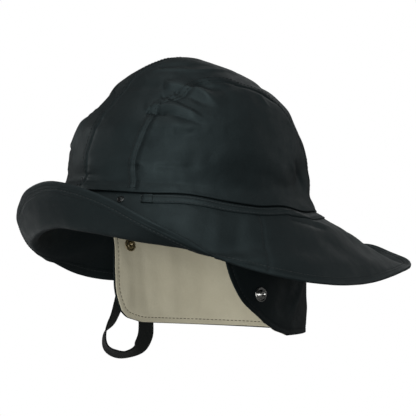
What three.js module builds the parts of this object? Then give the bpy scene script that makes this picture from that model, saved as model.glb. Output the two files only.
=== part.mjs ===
// A sou'wester, the fisherman's rain hat: a deep crown of coated cloth, a sloping brim whose front is
// turned up into a rain gutter, and a lined ear and neck flap with an elastic chin strap.
// Millimetres, +Z up. The wearer faces -Y and the wearer's left is +X. The origin is the middle of the
// head opening, level with the head seam at the wearer's ears.
// A turn is an angle round the hat in degrees: 0 front, 90 the wearer's left, 180 back, 270 right.

import * as THREE from "three";
import { mergeVertices } from "three/addons/utils/BufferGeometryUtils.js";

// Driving sizes
const HEAD = { halfLength: 109.2, halfWidth: 90.5, centre: 1.8 }; // the crown's lower edge, in plan
const FRONT_RISE = 13; // the head seam stands this much higher at the front than at the ears
const BACK_DROP = 6; // and falls this much from the ears to the back
const CROWN_CLOTH = 1.6;
const BRIM_CLOTH = 1.6;
const FLAP_CLOTH = 1.2;
const LINING_CLOTH = 1;
const GAP = 0.35; // between neighbouring pieces
const BRIM_DROP = 1.4; // the brim's sewn edge lies this far under the crown's edge
const BRIM_SEWN = 5; // and this far inside it
const BRIM_START = 1.5; // the brim shows from this far inside the crown's edge
const FLAP_DROP = 1.8; // the flap's sewn top lies this far under the crown's edge
const FLAP_LEFT_HEM = -104; // height of the flap's hem at the wearer's left corner
const FLAP_RIGHT_HEM = -94.5; // and at the right corner
const BAND = { cloth: 1, gap: 0.5, start: 37, end: 323, top: 1.9, width: 7.5 };
const STRAP = { width: 14, thickness: 1.5 };
const SNAP_SEGMENTS = 12;
const SNAP_GAP = 0.5; // between a flat snap part and the curved cloth behind it
const LEFT_SNAP = { turn: 99.2, height: -71 };
const RIGHT_SNAP = { turn: 272, height: -33 };
const EYELET = { turn: 27.6, below: 7.6 }; // below the head seam

// The crown from its lower edge to its top. tilt is the share of the head seam's slope a row follows.
const CROWN_ROWS = [
  { height: 0, halfLength: 109.2, halfWidth: 90.5, centre: 1.8, tilt: 1 },
  { height: 5, halfLength: 105.8, halfWidth: 88, centre: 1.2, tilt: 0.9 },
  { height: 12, halfLength: 101.5, halfWidth: 85.5, centre: 0, tilt: 0.6 },
  { height: 22, halfLength: 101.2, halfWidth: 85, centre: 0.8, tilt: 0.2 },
  { height: 36, halfLength: 100.8, halfWidth: 84.5, centre: 0.8, tilt: 0 },
  { height: 50, halfLength: 97, halfWidth: 81.5, centre: 1, tilt: 0 },
  { height: 63, halfLength: 91.5, halfWidth: 77, centre: 0.5, tilt: 0 },
  { height: 75, halfLength: 83.5, halfWidth: 70.5, centre: 2.5, tilt: 0 },
  { height: 86, halfLength: 72, halfWidth: 61, centre: 3, tilt: 0 },
  { height: 95, halfLength: 61.5, halfWidth: 51.5, centre: 1.5, tilt: 0 },
  { height: 104, halfLength: 47.5, halfWidth: 39.5, centre: -1.5, tilt: 0 },
  { height: 111, halfLength: 32.5, halfWidth: 27, centre: -5, tilt: 0 },
  { height: 116, halfLength: 17, halfWidth: 14, centre: -6.5, tilt: 0 },
  { height: 118.5, halfLength: 0, halfWidth: 0, centre: -7, tilt: 0 },
];

// Dents (depth above 0) and swells (below 0) of the crown: their middle, their spread in degrees and
// millimetres, and their depth.
const CROWN_DENTS = [
  { turn: 38, height: 77, turnSpread: 9, heightSpread: 7, depth: 4.5 },
  { turn: 325, height: 80, turnSpread: 16, heightSpread: 8, depth: 5 },
  { turn: 66, height: 93, turnSpread: 13, heightSpread: 5, depth: 3 },
  { turn: 62, height: 107, turnSpread: 30, heightSpread: 3, depth: 2 },
  { turn: 128, height: 20, turnSpread: 8, heightSpread: 12, depth: 4 },
  { turn: 143, height: 14, turnSpread: 10, heightSpread: 10, depth: -2.5 },
  { turn: 52, height: 62, turnSpread: 9, heightSpread: 6, depth: -2 },
];

// The wearer's left half of the brim. fold is the gutter's lowest line, and further back the middle of
// the slope. sag lowers the cloth between the fold and the edge, and lift raises the edge on the
// wearer's right, where the tail of the brim curls up.
const BRIM_ROWS = [
  { turn: 0, foldX: 0, foldY: -125, foldZ: -17, edgeX: 0, edgeY: -134.5, edgeZ: 18, sag: 0, lift: 0 },
  { turn: 15, foldX: 24, foldY: -122.5, foldZ: -19.5, edgeX: 28, edgeY: -131.6, edgeZ: 14.2, sag: 0, lift: 0 },
  { turn: 30, foldX: 47, foldY: -114.5, foldZ: -23.2, edgeX: 54, edgeY: -122.6, edgeZ: 5.6, sag: 0, lift: 0 },
  { turn: 42, foldX: 68.5, foldY: -101.5, foldZ: -27.2, edgeX: 82, edgeY: -106.7, edgeZ: -9.8, sag: 0, lift: 0 },
  { turn: 55, foldX: 88, foldY: -81, foldZ: -31.6, edgeX: 98, edgeY: -80.7, edgeZ: -25, sag: 0, lift: 0 },
  { turn: 70, foldX: 103, foldY: -50, foldZ: -37.6, edgeX: 110, edgeY: -48, edgeZ: -43, sag: 0, lift: 0 },
  { turn: 89, foldX: 109, foldY: -1, foldZ: -31, edgeX: 125, edgeY: 0, edgeZ: -56, sag: 0, lift: 0 },
  { turn: 107, foldX: 106, foldY: 40, foldZ: -33, edgeX: 124, edgeY: 49, edgeZ: -62, sag: 0, lift: 2 },
  { turn: 127, foldX: 92, foldY: 87, foldZ: -33, edgeX: 107, edgeY: 104, edgeZ: -60.5, sag: 0, lift: 8 },
  { turn: 146, foldX: 61, foldY: 132, foldZ: -33, edgeX: 75, edgeY: 163, edgeZ: -52, sag: 2, lift: 12 },
  { turn: 159, foldX: 39, foldY: 154, foldZ: -34.5, edgeX: 51, edgeY: 189, edgeZ: -47.8, sag: 6, lift: 13 },
  { turn: 170, foldX: 18, foldY: 164, foldZ: -29, edgeX: 26, edgeY: 206, edgeZ: -43.4, sag: 8.5, lift: 12 },
  { turn: 180, foldX: 0, foldY: 166, foldZ: -23, edgeX: 0, edgeY: 212, edgeZ: -38.4, sag: 9, lift: 0 },
];

// The flap from its sewn top (share 0) to its hem (share 1): its oval in plan and the turns of its two
// front edges, the left one measured from the front and the right one from the front the other way.
const FLAP_ROWS = [
  { share: 0, halfLength: 103.7, halfWidth: 85, centre: 1.8, leftTurn: 77, rightTurn: 79.5 },
  { share: 0.15, halfLength: 104, halfWidth: 81, centre: 1.8, leftTurn: 77.2, rightTurn: 79.2 },
  { share: 0.3, halfLength: 104.5, halfWidth: 76.5, centre: 1.8, leftTurn: 77.6, rightTurn: 79 },
  { share: 0.45, halfLength: 105, halfWidth: 73.5, centre: 1.8, leftTurn: 80, rightTurn: 78.4 },
  { share: 0.6, halfLength: 105, halfWidth: 72, centre: 1.8, leftTurn: 84, rightTurn: 77.9 },
  { share: 0.75, halfLength: 105, halfWidth: 72, centre: 1.8, leftTurn: 90.3, rightTurn: 78.5 },
  { share: 0.9, halfLength: 105, halfWidth: 72, centre: 1.8, leftTurn: 102, rightTurn: 81.7 },
  { share: 0.96, halfLength: 105, halfWidth: 72, centre: 1.8, leftTurn: 109.5, rightTurn: 85.9 },
  { share: 1, halfLength: 105, halfWidth: 72, centre: 1.8, leftTurn: 119, rightTurn: 93 },
];

// The strap's middle line from its snapped end to its sewn end: its turn, height and distance out from
// the flap, and the way its face looks.
const STRAP_ROUTE = [
  { turn: 272, height: -25.5, out: 3.9, face: [-1, 0, 0] },
  { turn: 272, height: -33, out: 3.9, face: [-1, 0, 0] },
  { turn: 270.5, height: -44, out: 3.5, face: [-1, 0, 0] },
  { turn: 265, height: -62, out: 2, face: [-1, 0, 0] },
  { turn: 263.5, height: -82, out: 2, face: [-1, 0.05, 0] },
  { turn: 262.5, height: -98, out: 3, face: [-1, 0.1, 0.1] },
  { turn: 262.5, height: -108, out: 5.5, face: [-0.8, 0.2, 0.5] },
  { turn: 265, height: -117, out: 9, face: [-0.5, 0.3, 0.8] },
  { turn: 271, height: -121, out: 12.5, face: [-0.34, 0.26, 0.9] },
  { turn: 276.3, height: -118, out: 14.5, face: [-0.1, 0.6, 0.8] },
  { turn: 279.6, height: -111, out: 14.5, face: [0.4, 0.85, 0.3] },
  { turn: 280.2, height: -102, out: 12.5, face: [0.62, 0.79, 0] },
  { turn: 278, height: -92, out: 8.5, face: [0.86, 0.51, 0] },
  { turn: 276.8, height: -80, out: 4, face: [0.95, 0.32, 0] },
  { turn: 275, height: -70, out: 2.1, face: [1, 0.05, 0] },
  { turn: 273, height: -60, out: 2, face: [1, 0, 0] },
];

// Grid sizes
const CROWN_GRID = { around: 52, up: 13 };
const BRIM_GRID = { around: 64, across: 10 };
const FLAP_GRID = { along: 34, down: 8 };
const BAND_STEPS = 46;
const STRAP_STEPS = 42;

const cloth = new THREE.MeshStandardMaterial({ color: 0x21282a, roughness: 0.55, metalness: 0 });
const liningCloth = new THREE.MeshStandardMaterial({ color: 0xa09a80, roughness: 0.9, metalness: 0 });
const elastic = new THREE.MeshStandardMaterial({ color: 0x191c1b, roughness: 0.85, metalness: 0 });
const nickel = new THREE.MeshStandardMaterial({ color: 0x8f9190, roughness: 0.3, metalness: 1 });
const brass = new THREE.MeshStandardMaterial({ color: 0x6e6246, roughness: 0.45, metalness: 0.8 });

const cosine = (turn) => Math.cos(THREE.MathUtils.degToRad(turn));
const sine = (turn) => Math.sin(THREE.MathUtils.degToRad(turn));
const bell = (offset, spread) => Math.exp(-((offset / spread) ** 2));

// Height of the head seam at a turn.
function seamHeight(turn) {
  const front = cosine(turn);
  return front * (front > 0 ? FRONT_RISE : BACK_DROP);
}

function ovalPoint(oval, turn, height, inset = 0) {
  const x = (oval.halfWidth - inset) * sine(turn);
  const y = oval.centre - (oval.halfLength - inset) * cosine(turn);
  return new THREE.Vector3(x, y, height);
}

// The number between b and c at f from 0 to 1, on a smooth curve through a, b, c and d.
function smoothBetween(a, b, c, d, f) {
  const start = (c - a) / 2;
  const end = (d - b) / 2;
  return b + f * (start + f * (3 * (c - b) - 2 * start - end + f * (2 * (b - c) + start + end)));
}

// A column's value at a place counted in rows, on a smooth curve through the rows.
function columnAt(rows, column, place) {
  const i = Math.min(Math.floor(place), rows.length - 2);
  const value = (k) => rows[THREE.MathUtils.clamp(k, 0, rows.length - 1)][column];
  return smoothBetween(value(i - 1), value(i), value(i + 1), value(i + 2), place - i);
}

// Where among the rows, counted in rows, the key column has a value.
function placeOf(rows, key, value) {
  const last = rows.length - 1;
  if (value <= rows[0][key]) return 0;
  if (value >= rows[last][key]) return last;
  const i = rows.findIndex((row) => row[key] > value) - 1;
  return i + (value - rows[i][key]) / (rows[i + 1][key] - rows[i][key]);
}

// The point at f from 0 to 1 of a smooth line through a few points.
function pointOnLine(points, f) {
  return new THREE.CatmullRomCurve3(points, false, "centripetal").getPoint(f);
}

function crownPoint(turn, rise) {
  const place = rise * (CROWN_ROWS.length - 1);
  const at = (column) => columnAt(CROWN_ROWS, column, place);
  const oval = { halfLength: at("halfLength"), halfWidth: at("halfWidth"), centre: at("centre") };
  const height = at("height") + Math.max(at("tilt"), 0) * seamHeight(turn);
  const share = CROWN_DENTS.reduce((sum, dent) => {
    const away = ((turn - dent.turn + 540) % 360) - 180;
    return sum + dent.depth * bell(away, dent.turnSpread) * bell(height - dent.height, dent.heightSpread);
  }, 0);
  const inset = Math.min(share, oval.halfWidth);
  return ovalPoint(oval, turn, height, inset);
}

// The brim's table right round the hat, from the front by the left to the front again.
function wholeBrim() {
  const left = BRIM_ROWS.map((row) => ({ ...row }));
  const right = BRIM_ROWS.slice(1, -1).reverse();
  const mirrored = right.map((row) => ({
    ...row,
    turn: 360 - row.turn,
    foldX: -row.foldX,
    edgeX: -row.edgeX,
    foldZ: row.foldZ + row.lift * 0.25,
    edgeZ: row.edgeZ + row.lift,
  }));
  const front = { ...BRIM_ROWS[0], turn: 360 };
  return [...left, ...mirrored, front];
}

const BRIM_LOOP = wholeBrim();

// A column of the brim's table at a turn, smooth across the front too.
function brimColumn(column, turn) {
  const count = BRIM_LOOP.length - 1;
  const place = placeOf(BRIM_LOOP, "turn", turn);
  const i = Math.min(Math.floor(place), count - 1);
  const value = (k) => BRIM_LOOP[(k + count) % count][column];
  return smoothBetween(value(i - 1), value(i), value(i + 1), value(i + 2), place - i);
}

// A point of the brim's face: across is 0 at the seam and 1 at the edge.
function brimPoint(turn, across) {
  const at = (column) => brimColumn(column, turn);
  const seam = ovalPoint(HEAD, turn, seamHeight(turn) - BRIM_DROP, BRIM_START);
  const fold = new THREE.Vector3(at("foldX"), at("foldY"), at("foldZ"));
  const edge = new THREE.Vector3(at("edgeX"), at("edgeY"), at("edgeZ"));
  const inner = seam.clone().lerp(fold, 0.5);
  const outer = fold.clone().lerp(edge, 0.5);
  const away = new THREE.Vector3(fold.x - seam.x, fold.y - seam.y, 0).normalize();
  inner.addScaledVector(away, 2);
  outer.addScaledVector(away, 2.5);
  outer.z -= at("sag");
  return pointOnLine([seam, inner, fold, outer, edge], across);
}

function flapPoint(turn, share) {
  const place = placeOf(FLAP_ROWS, "share", share);
  const at = (column) => columnAt(FLAP_ROWS, column, place);
  const oval = { halfLength: at("halfLength"), halfWidth: at("halfWidth"), centre: at("centre") };
  const top = seamHeight(turn) - FLAP_DROP;
  return ovalPoint(oval, turn, THREE.MathUtils.lerp(top, flapHem(turn), share));
}

// Height of the flap's hem at a turn.
function flapHem(turn) {
  const corner = FLAP_ROWS[FLAP_ROWS.length - 1];
  const along = (turn - corner.leftTurn) / (360 - corner.rightTurn - corner.leftTurn);
  return THREE.MathUtils.lerp(FLAP_LEFT_HEM, FLAP_RIGHT_HEM, THREE.MathUtils.clamp(along, 0, 1));
}

// A point beside the flap, by its turn and height and its distance out from the flap's face, and the
// flap's outward direction there.
function besideFlap(turn, height, out) {
  const top = seamHeight(turn) - FLAP_DROP;
  const share = (height - top) / (flapHem(turn) - top);
  const step = 0.01;
  const point = flapPoint(turn, share);
  const round = flapPoint(turn + 1, share).sub(flapPoint(turn - 1, share));
  const down = flapPoint(turn, share + step).sub(flapPoint(turn, share - step));
  const outward = down.cross(round).normalize();
  return { point: point.addScaledVector(outward, out), outward };
}

// A grid of points: lines of them, one for each step round, each running across.
function grid(around, across, pointAt) {
  return Array.from({ length: around + 1 }, (_, j) =>
    Array.from({ length: across + 1 }, (_, i) => pointAt(j / around, i / across)));
}

// The direction out of a grid's face at each of its points. A grid that closes on itself has its first
// line again as its last.
function gridNormals(points, closes) {
  const count = points.length - 1;
  const line = (j) => (closes ? (j + count) % count : THREE.MathUtils.clamp(j, 0, count));
  const normals = points.map((row, j) => row.map((_, i) => {
    const round = points[line(j + 1)][i].clone().sub(points[line(j - 1)][i]);
    const across = row[Math.min(i + 1, row.length - 1)].clone().sub(row[Math.max(i - 1, 0)]);
    return round.cross(across);
  }));
  const last = points[0].length - 1;
  if (points[0][last].distanceTo(points[Math.floor(count / 2)][last]) < 0.001) {
    const middle = normals.reduce((sum, row) => sum.add(row[last - 1]), new THREE.Vector3());
    normals.forEach((row) => row[last].copy(middle));
  }
  normals.flat().forEach((normal) => normal.normalize());
  return normals;
}

// One closed body from a list of four-sided and three-sided faces given by their corners.
function closedBody(faces) {
  const corners = [];
  const addTriangle = (a, b, c) => {
    const flat = a.distanceTo(b) < 0.001 || b.distanceTo(c) < 0.001 || c.distanceTo(a) < 0.001;
    if (!flat) corners.push(a, b, c);
  };
  for (const [a, b, c, d] of faces) {
    addTriangle(a, b, c);
    if (d) addTriangle(a, c, d);
  }
  let volume = 0;
  for (let k = 0; k < corners.length; k += 3) {
    volume += corners[k].dot(corners[k + 1].clone().cross(corners[k + 2]));
  }
  const outward = volume > 0 ? corners : corners.reverse();
  return mergeVertices(new THREE.BufferGeometry().setFromPoints(outward), 1e-3);
}

// A cloth wall along a grid, between two distances out from the grid's face.
function wall(points, inside, outside, closes) {
  const normals = gridNormals(points, closes);
  const shifted = (out) => points.map((row, j) => row.map((p, i) => p.clone().addScaledVector(normals[j][i], out)));
  const inner = shifted(inside);
  const outer = shifted(outside);
  const lines = points.length - 1;
  const last = points[0].length - 1;
  const faces = [];
  for (let j = 0; j < lines; j++) {
    for (let i = 0; i < last; i++) {
      faces.push([outer[j][i], outer[j + 1][i], outer[j + 1][i + 1], outer[j][i + 1]]);
      faces.push([inner[j][i], inner[j][i + 1], inner[j + 1][i + 1], inner[j + 1][i]]);
    }
    faces.push([outer[j][0], inner[j][0], inner[j + 1][0], outer[j + 1][0]]);
    if (points[0][last].distanceTo(points[1][last]) > 0.001) {
      faces.push([outer[j][last], outer[j + 1][last], inner[j + 1][last], inner[j][last]]);
    }
  }
  if (!closes) {
    for (let i = 0; i < last; i++) {
      faces.push([outer[0][i], outer[0][i + 1], inner[0][i + 1], inner[0][i]]);
      faces.push([outer[lines][i], inner[lines][i], inner[lines][i + 1], outer[lines][i + 1]]);
    }
  }
  return closedBody(faces);
}

function crown() {
  const points = grid(CROWN_GRID.around, CROWN_GRID.up, (round, up) => crownPoint(round * 360, up));
  points[CROWN_GRID.around] = points[0];
  return wall(points, -CROWN_CLOTH, 0, true);
}

// The brim runs the other way round the hat, because its face is the one that looks up. Its first
// column is the sewn edge under the crown.
function brim() {
  const points = grid(BRIM_GRID.around, BRIM_GRID.across, (round, across) => brimPoint(360 - round * 360, across));
  points.forEach((row, j) => {
    const turn = 360 - (j / BRIM_GRID.around) * 360;
    row.unshift(ovalPoint(HEAD, turn, seamHeight(turn) - BRIM_DROP, BRIM_SEWN));
  });
  points[BRIM_GRID.around] = points[0];
  return wall(points, -BRIM_CLOTH, 0, true);
}

// How far across the brim, from 0 to 1, a distance from the seam lies.
function acrossAt(turn, distance) {
  const seam = brimPoint(turn, 0);
  let across = 0;
  while (brimPoint(turn, across).distanceTo(seam) < distance) across += 0.005;
  return across;
}

function crownBand() {
  const points = grid(BAND_STEPS, 2, (along, across) => {
    const turn = THREE.MathUtils.lerp(BAND.end, BAND.start, along);
    return brimPoint(turn, acrossAt(turn, BAND.top + BAND.width * across));
  });
  return wall(points, BAND.gap, BAND.gap + BAND.cloth, false);
}

// The flap's face from the right front edge round the back to the left one.
function flapGrid() {
  return grid(FLAP_GRID.along, FLAP_GRID.down, (along, share) => {
    const place = placeOf(FLAP_ROWS, "share", share);
    const left = columnAt(FLAP_ROWS, "leftTurn", place);
    const right = 360 - columnAt(FLAP_ROWS, "rightTurn", place);
    return flapPoint(THREE.MathUtils.lerp(right, left, along), share);
  });
}

function flapShell() {
  return wall(flapGrid(), -FLAP_CLOTH, 0, false);
}

function flapLining() {
  const face = -FLAP_CLOTH - GAP;
  return wall(flapGrid(), face - LINING_CLOTH, face, false);
}

function chinStrap() {
  const line = new THREE.CatmullRomCurve3(STRAP_ROUTE.map((row) => besideFlap(row.turn, row.height, row.out).point));
  const faces = new THREE.CatmullRomCurve3(STRAP_ROUTE.map((row) => new THREE.Vector3(...row.face)));
  const rings = Array.from({ length: STRAP_STEPS + 1 }, (_, k) => {
    const f = k / STRAP_STEPS;
    const middle = line.getPoint(f);
    const across = line.getTangent(f).cross(faces.getPoint(f)).normalize();
    const out = across.clone().cross(line.getTangent(f)).normalize();
    const corners = [[-1, -1], [1, -1], [1, 1], [-1, 1]];
    return corners.map(([side, level]) => middle.clone()
      .addScaledVector(across, (side * STRAP.width) / 2)
      .addScaledVector(out, (level * STRAP.thickness) / 2));
  });
  const sides = [];
  for (let k = 0; k < STRAP_STEPS; k++) {
    for (let c = 0; c < 4; c++) {
      const next = (c + 1) % 4;
      sides.push([rings[k][c], rings[k][next], rings[k + 1][next], rings[k + 1][c]]);
    }
  }
  const [start, end] = [rings[0], rings[STRAP_STEPS]];
  return closedBody([...sides, [start[3], start[2], start[1], start[0]], end]);
}

// A turned metal part from its outline: radius and height pairs, from its axis to its axis.
function turned(outline) {
  const points = outline.map(([radius, height]) => new THREE.Vector2(radius, height));
  const geometry = new THREE.LatheGeometry(points, SNAP_SEGMENTS);
  geometry.deleteAttribute("normal");
  geometry.deleteAttribute("uv");
  return mergeVertices(geometry, 1e-3);
}

const studShape = () => turned([[0, 0], [6, 0], [6, 0.9], [3, 1], [3, 3], [0, 3.4]]);
const backShape = () => turned([[0, 0], [5.3, 0], [5.3, 0.8], [4, 1.3], [0, 1.1]]);
const lowStudShape = () => turned([[0, 0], [5.5, 0], [5.5, 1], [3, 1.2], [3, 2], [0, 2]]);
const capShape = () => turned([[0, 0], [6, 0], [6, 0.9], [4.5, 1.8], [0, 2.1]]);
const eyeletShape = () => turned([[0, 0], [2.9, 0], [2.9, 0.6], [1.8, 1.4], [0, 1.7]]);

function mesh(name, geometry, material) {
  const made = new THREE.Mesh(geometry, material);
  made.name = name;
  return made;
}

// A turned part standing on a point, its axis along a direction.
function standing(name, geometry, material, point, direction) {
  const made = mesh(name, geometry, material);
  made.position.copy(point);
  made.quaternion.setFromUnitVectors(new THREE.Vector3(0, 1, 0), direction);
  return made;
}

// A part of a snap beside the flap: out is from the flap's outer face, and a part inside the flap
// stands the other way.
function flapSnap(name, geometry, material, snap, out, inside = false) {
  const { point, outward } = besideFlap(snap.turn, snap.height, out);
  return standing(name, geometry, material, point, inside ? outward.negate() : outward);
}

function eyelet() {
  const across = acrossAt(EYELET.turn, EYELET.below);
  const step = 0.01;
  const round = brimPoint(EYELET.turn + 1, across).sub(brimPoint(EYELET.turn - 1, across));
  const down = brimPoint(EYELET.turn, across + step).sub(brimPoint(EYELET.turn, across - step));
  const outward = down.cross(round).normalize();
  const point = brimPoint(EYELET.turn, across).addScaledVector(outward, GAP);
  return standing("brim_eyelet", eyeletShape(), nickel, point, outward);
}

const insideFace = -FLAP_CLOTH - GAP - LINING_CLOTH - SNAP_GAP;
const strapFace = STRAP_ROUTE[1].out + STRAP.thickness / 2;

const hat = new THREE.Group();
hat.add(
  mesh("crown", crown(), cloth),
  mesh("brim", brim(), cloth),
  mesh("crown_band", crownBand(), cloth),
  eyelet(),
  mesh("flap_shell", flapShell(), cloth),
  mesh("flap_lining", flapLining(), liningCloth),
  mesh("chin_strap", chinStrap(), elastic),
  flapSnap("left_snap_stud", studShape(), nickel, LEFT_SNAP, SNAP_GAP),
  flapSnap("left_snap_back", backShape(), brass, LEFT_SNAP, insideFace, true),
  flapSnap("right_snap_stud", lowStudShape(), nickel, RIGHT_SNAP, SNAP_GAP),
  flapSnap("right_snap_back", backShape(), brass, RIGHT_SNAP, insideFace, true),
  flapSnap("strap_snap_cap", capShape(), brass, RIGHT_SNAP, strapFace + SNAP_GAP),
);

export default hat;
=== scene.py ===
# The looks of a sou'wester: coated black cloth, a beige flap lining, elastic and metal snaps.
import math

import bmesh
import bpy
import numpy as np
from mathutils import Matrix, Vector, noise
from mathutils.bvhtree import BVHTree


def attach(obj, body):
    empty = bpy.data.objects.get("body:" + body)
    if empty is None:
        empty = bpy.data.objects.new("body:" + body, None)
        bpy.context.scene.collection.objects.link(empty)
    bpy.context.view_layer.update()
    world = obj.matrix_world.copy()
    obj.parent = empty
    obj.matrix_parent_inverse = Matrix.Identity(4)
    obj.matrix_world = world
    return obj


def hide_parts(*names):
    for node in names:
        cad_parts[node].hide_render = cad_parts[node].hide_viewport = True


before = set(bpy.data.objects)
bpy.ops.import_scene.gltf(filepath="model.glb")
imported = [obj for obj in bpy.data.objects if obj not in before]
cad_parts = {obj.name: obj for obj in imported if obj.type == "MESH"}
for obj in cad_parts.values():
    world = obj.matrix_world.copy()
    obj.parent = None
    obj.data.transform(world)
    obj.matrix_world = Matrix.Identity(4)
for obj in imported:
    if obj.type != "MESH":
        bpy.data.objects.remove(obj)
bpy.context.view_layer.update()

# Shapes are worked out in millimetres, as in the part's source, and become metres in the meshes.
# A turn is an angle round the hat in degrees: 0 front, 90 the wearer's left, 180 back, 270 right.
MM = 0.001

# The photograph's frame, in its own pixels
PHOTO_SIZE = 416
ORIGIN_PIXEL = (187, 205)
PIXELS_PER_MM = 1.25
CAMERA_TURN = 52
CAMERA_AWAY = 6.0
SENSOR = 36.0

# The floor, in metres
FLOOR_RADIUS = 2.6
FLOOR_HEIGHT = -0.3

# Driving sizes of the hat
HEAD_LENGTH = 109.2  # half the crown's lower edge, front to back
HEAD_WIDTH = 90.5
HEAD_CENTRE = 1.8
FRONT_RISE = 13
BACK_DROP = 6
CROWN_CLOTH = 1.6
BRIM_CLOTH = 1.6
BRIM_DROP = 1.4
BRIM_START = 1.5
BRIM_RADIUS = 120  # about halfway across, for the weave
PANEL_PUFF = 0.7
CROWN_SEAM_DENT = 0.7
BRIM_SEAM_DENT = 0.45
BRIM_SEAM_TURN = 89.3  # at the head seam
BRIM_SEAM_LEAN = 5.1  # degrees forward on its way to the edge
HEM_WIDTH = 8.0
HEM_CLOTH = 0.7
HEM_STITCH = 5.5  # the hem's stitches from the brim's edge
FLAP_CLOTH = 1.2
LINING_CLOTH = 1.0
LINING_INSET = 0.7
SNAP_REACH = 11  # the flap lies flat this far round a snap
GAP = 0.35
FLAP_DROP = 1.8
FLAP_LEFT_HEM = -104
FLAP_RIGHT_HEM = -94.5
FLAP_STITCH = 4.0
BAND_TOP = 1.9
BAND_WIDTH = 7.5
BAND_CLOTH = 1.0
BAND_START = 37
BAND_END = 323
STRAP_WIDTH = 14.0
STRAP_THICKNESS = 1.5
STRAP_OUT = 3.9  # from the flap to the strap's middle where it is snapped
METAL_RISE = 0.1
LEFT_SNAP = (99.2, -71)
RIGHT_SNAP = (272, -33)
EYELET = (27.6, 7.6)  # its turn and its distance below the head seam

# The crown from its lower edge to its top: height, half length, half width, centre and tilt.
CROWN_ROWS = np.array([
    (0, 109.2, 90.5, 1.8, 1), (5, 105.8, 88, 1.2, 0.9), (12, 101.5, 85.5, 0, 0.6),
    (22, 101.2, 85, 0.8, 0.2), (36, 100.8, 84.5, 0.8, 0), (50, 97, 81.5, 1, 0),
    (63, 91.5, 77, 0.5, 0), (75, 83.5, 70.5, 2.5, 0), (86, 72, 61, 3, 0), (95, 61.5, 51.5, 1.5, 0),
    (104, 47.5, 39.5, -1.5, 0), (111, 32.5, 27, -5, 0), (116, 17, 14, -6.5, 0), (118.5, 0, 0, -7, 0),
], float)

# Dents and swells of the crown: turn, height, turn spread, height spread and depth.
CROWN_DENTS = [
    (38, 77, 9, 7, 4.5), (325, 80, 16, 8, 5), (66, 93, 13, 5, 3), (62, 107, 30, 3, 2),
    (128, 20, 8, 12, 4), (143, 14, 10, 10, -2.5), (52, 62, 9, 6, -2),
]

# Folds of the crown: the turns and heights that a fold runs through, its half widths above and below
# that line, its height (below 0 for a crease) and how rounded it is (2 round, 1 sharp).
CROWN_FOLDS = [
    ([(28, 75.8), (35, 76.3), (42, 76.2), (48.5, 75), (54.8, 72.6), (60.5, 69.6), (69, 64.2)],
     6.2, 2.2, 3.6, 2),
    ([(36, 84.5), (41, 85.6), (46, 83.8), (51.2, 80.8), (58.8, 75.2), (67, 68)], 6, 1.4, -2.4, 1.4),
    ([(31.4, 73.8), (34.2, 73.1), (37.5, 72.4), (42, 72), (47, 71.6)], 1.6, 2.4, -2.4, 2),
    ([(44, 72), (50, 71.2), (56, 69.4), (62, 66.6), (69, 62.6)], 1.2, 4, -1.1, 1.5),
    ([(36, 94.6), (43, 94.8), (49, 94.4), (55, 93), (60.5, 91), (66, 87.4), (71, 82.2), (77, 75.5)],
     6.5, 3, 3, 2),
    ([(38, 98), (43, 99.6), (50, 101.6), (57, 102.4), (64, 101), (69.5, 97), (73.5, 91), (77, 84)],
     6, 4, -0.8, 2),
    ([(45, 90.4), (51, 88.8), (57, 86.2), (64, 82), (71, 77)], 1.8, 4, -1.6, 1.8),
    ([(14, 105.5), (30, 107), (52, 107.2), (76, 106.4), (118, 106.6), (130, 98)], 2.6, 1.5, 1.4, 1.4),
    ([(18, 110.5), (60, 111.5), (115, 110.5)], 4, 4, -1.4, 2),
    ([(40.5, 31), (47, 30.2), (54, 29.8), (64, 31)], 1.5, 3, -0.6, 1.6),
    ([(42, 27.6), (50, 25.8), (58, 25), (67, 27)], 2.6, 5, 0.35, 2),
    ([(50, 59), (56, 57), (62, 59)], 1.6, 2.6, -0.5, 1.6),
    ([(47, 63.5), (57, 61.5), (68, 63)], 3.2, 3.2, 0.2, 2),
    ([(97, 96.8), (106, 94), (116, 90), (122, 84.5), (126, 79)], 1.3, 2.8, -1.2, 1.5),
    ([(113, 88), (111.5, 83), (112, 77)], 2.6, 2.6, 0.7, 2),
    ([(95, 25), (107, 17), (118, 11)], 6, 7, -0.5, 2),
    ([(120, 36), (126, 27), (131, 20), (134, 9)], 2.2, 2.2, -1, 1.6),
    ([(115, 35), (121, 26), (126.5, 18), (131, 9)], 2.6, 2.6, 0.6, 2),
    ([(125, 67), (133, 55), (140, 42)], 4, 4, 0.7, 2),
    ([(333, 44), (337, 58), (336, 72)], 7, 7, 2.4, 2),
    ([(345, 90), (0, 93), (14, 88)], 5, 5, -1.2, 2),
    ([(205, 72), (222, 60), (240, 42)], 5, 7, 2.4, 2),
    ([(212, 62), (226, 50), (240, 33)], 4.5, 3, -2, 2),
    ([(246, 92), (268, 85), (292, 81)], 5, 3, -2.2, 2),
    ([(250, 84), (270, 76), (290, 73)], 4, 7, 2, 2),
    ([(283, 62), (300, 53), (318, 50)], 4, 6, 1.6, 2),
    ([(160, 62), (171, 48), (178, 28)], 5, 5, -1.8, 2),
    ([(152, 26), (166, 18), (186, 13)], 4, 4, 1.7, 2),
    ([(216, 25), (235, 16), (257, 12)], 4.4, 3, -2, 2),
    ([(300, 27), (318, 23), (335, 26)], 2.6, 4, -0.5, 2),
]

# Uneven swells of the cloth: size, height and seed.
CROWN_SWELLS = [(24, 0.9, 0), (10, 0.4, 3.1)]
BRIM_SWELLS = [(34, 0.8, 5.2), (12, 0.25, 1.4)]
FLAP_SWELLS = [(26, 0.8, 8.8), (9, 0.25, 2.2)]

# Ripples beside the crown's seams: their reach from the seam, height, length and seed.
SEAM_RIPPLES = [(9, 1.1, 9, 1.7), (5, 0.6, 4, 7.3)]

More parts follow.
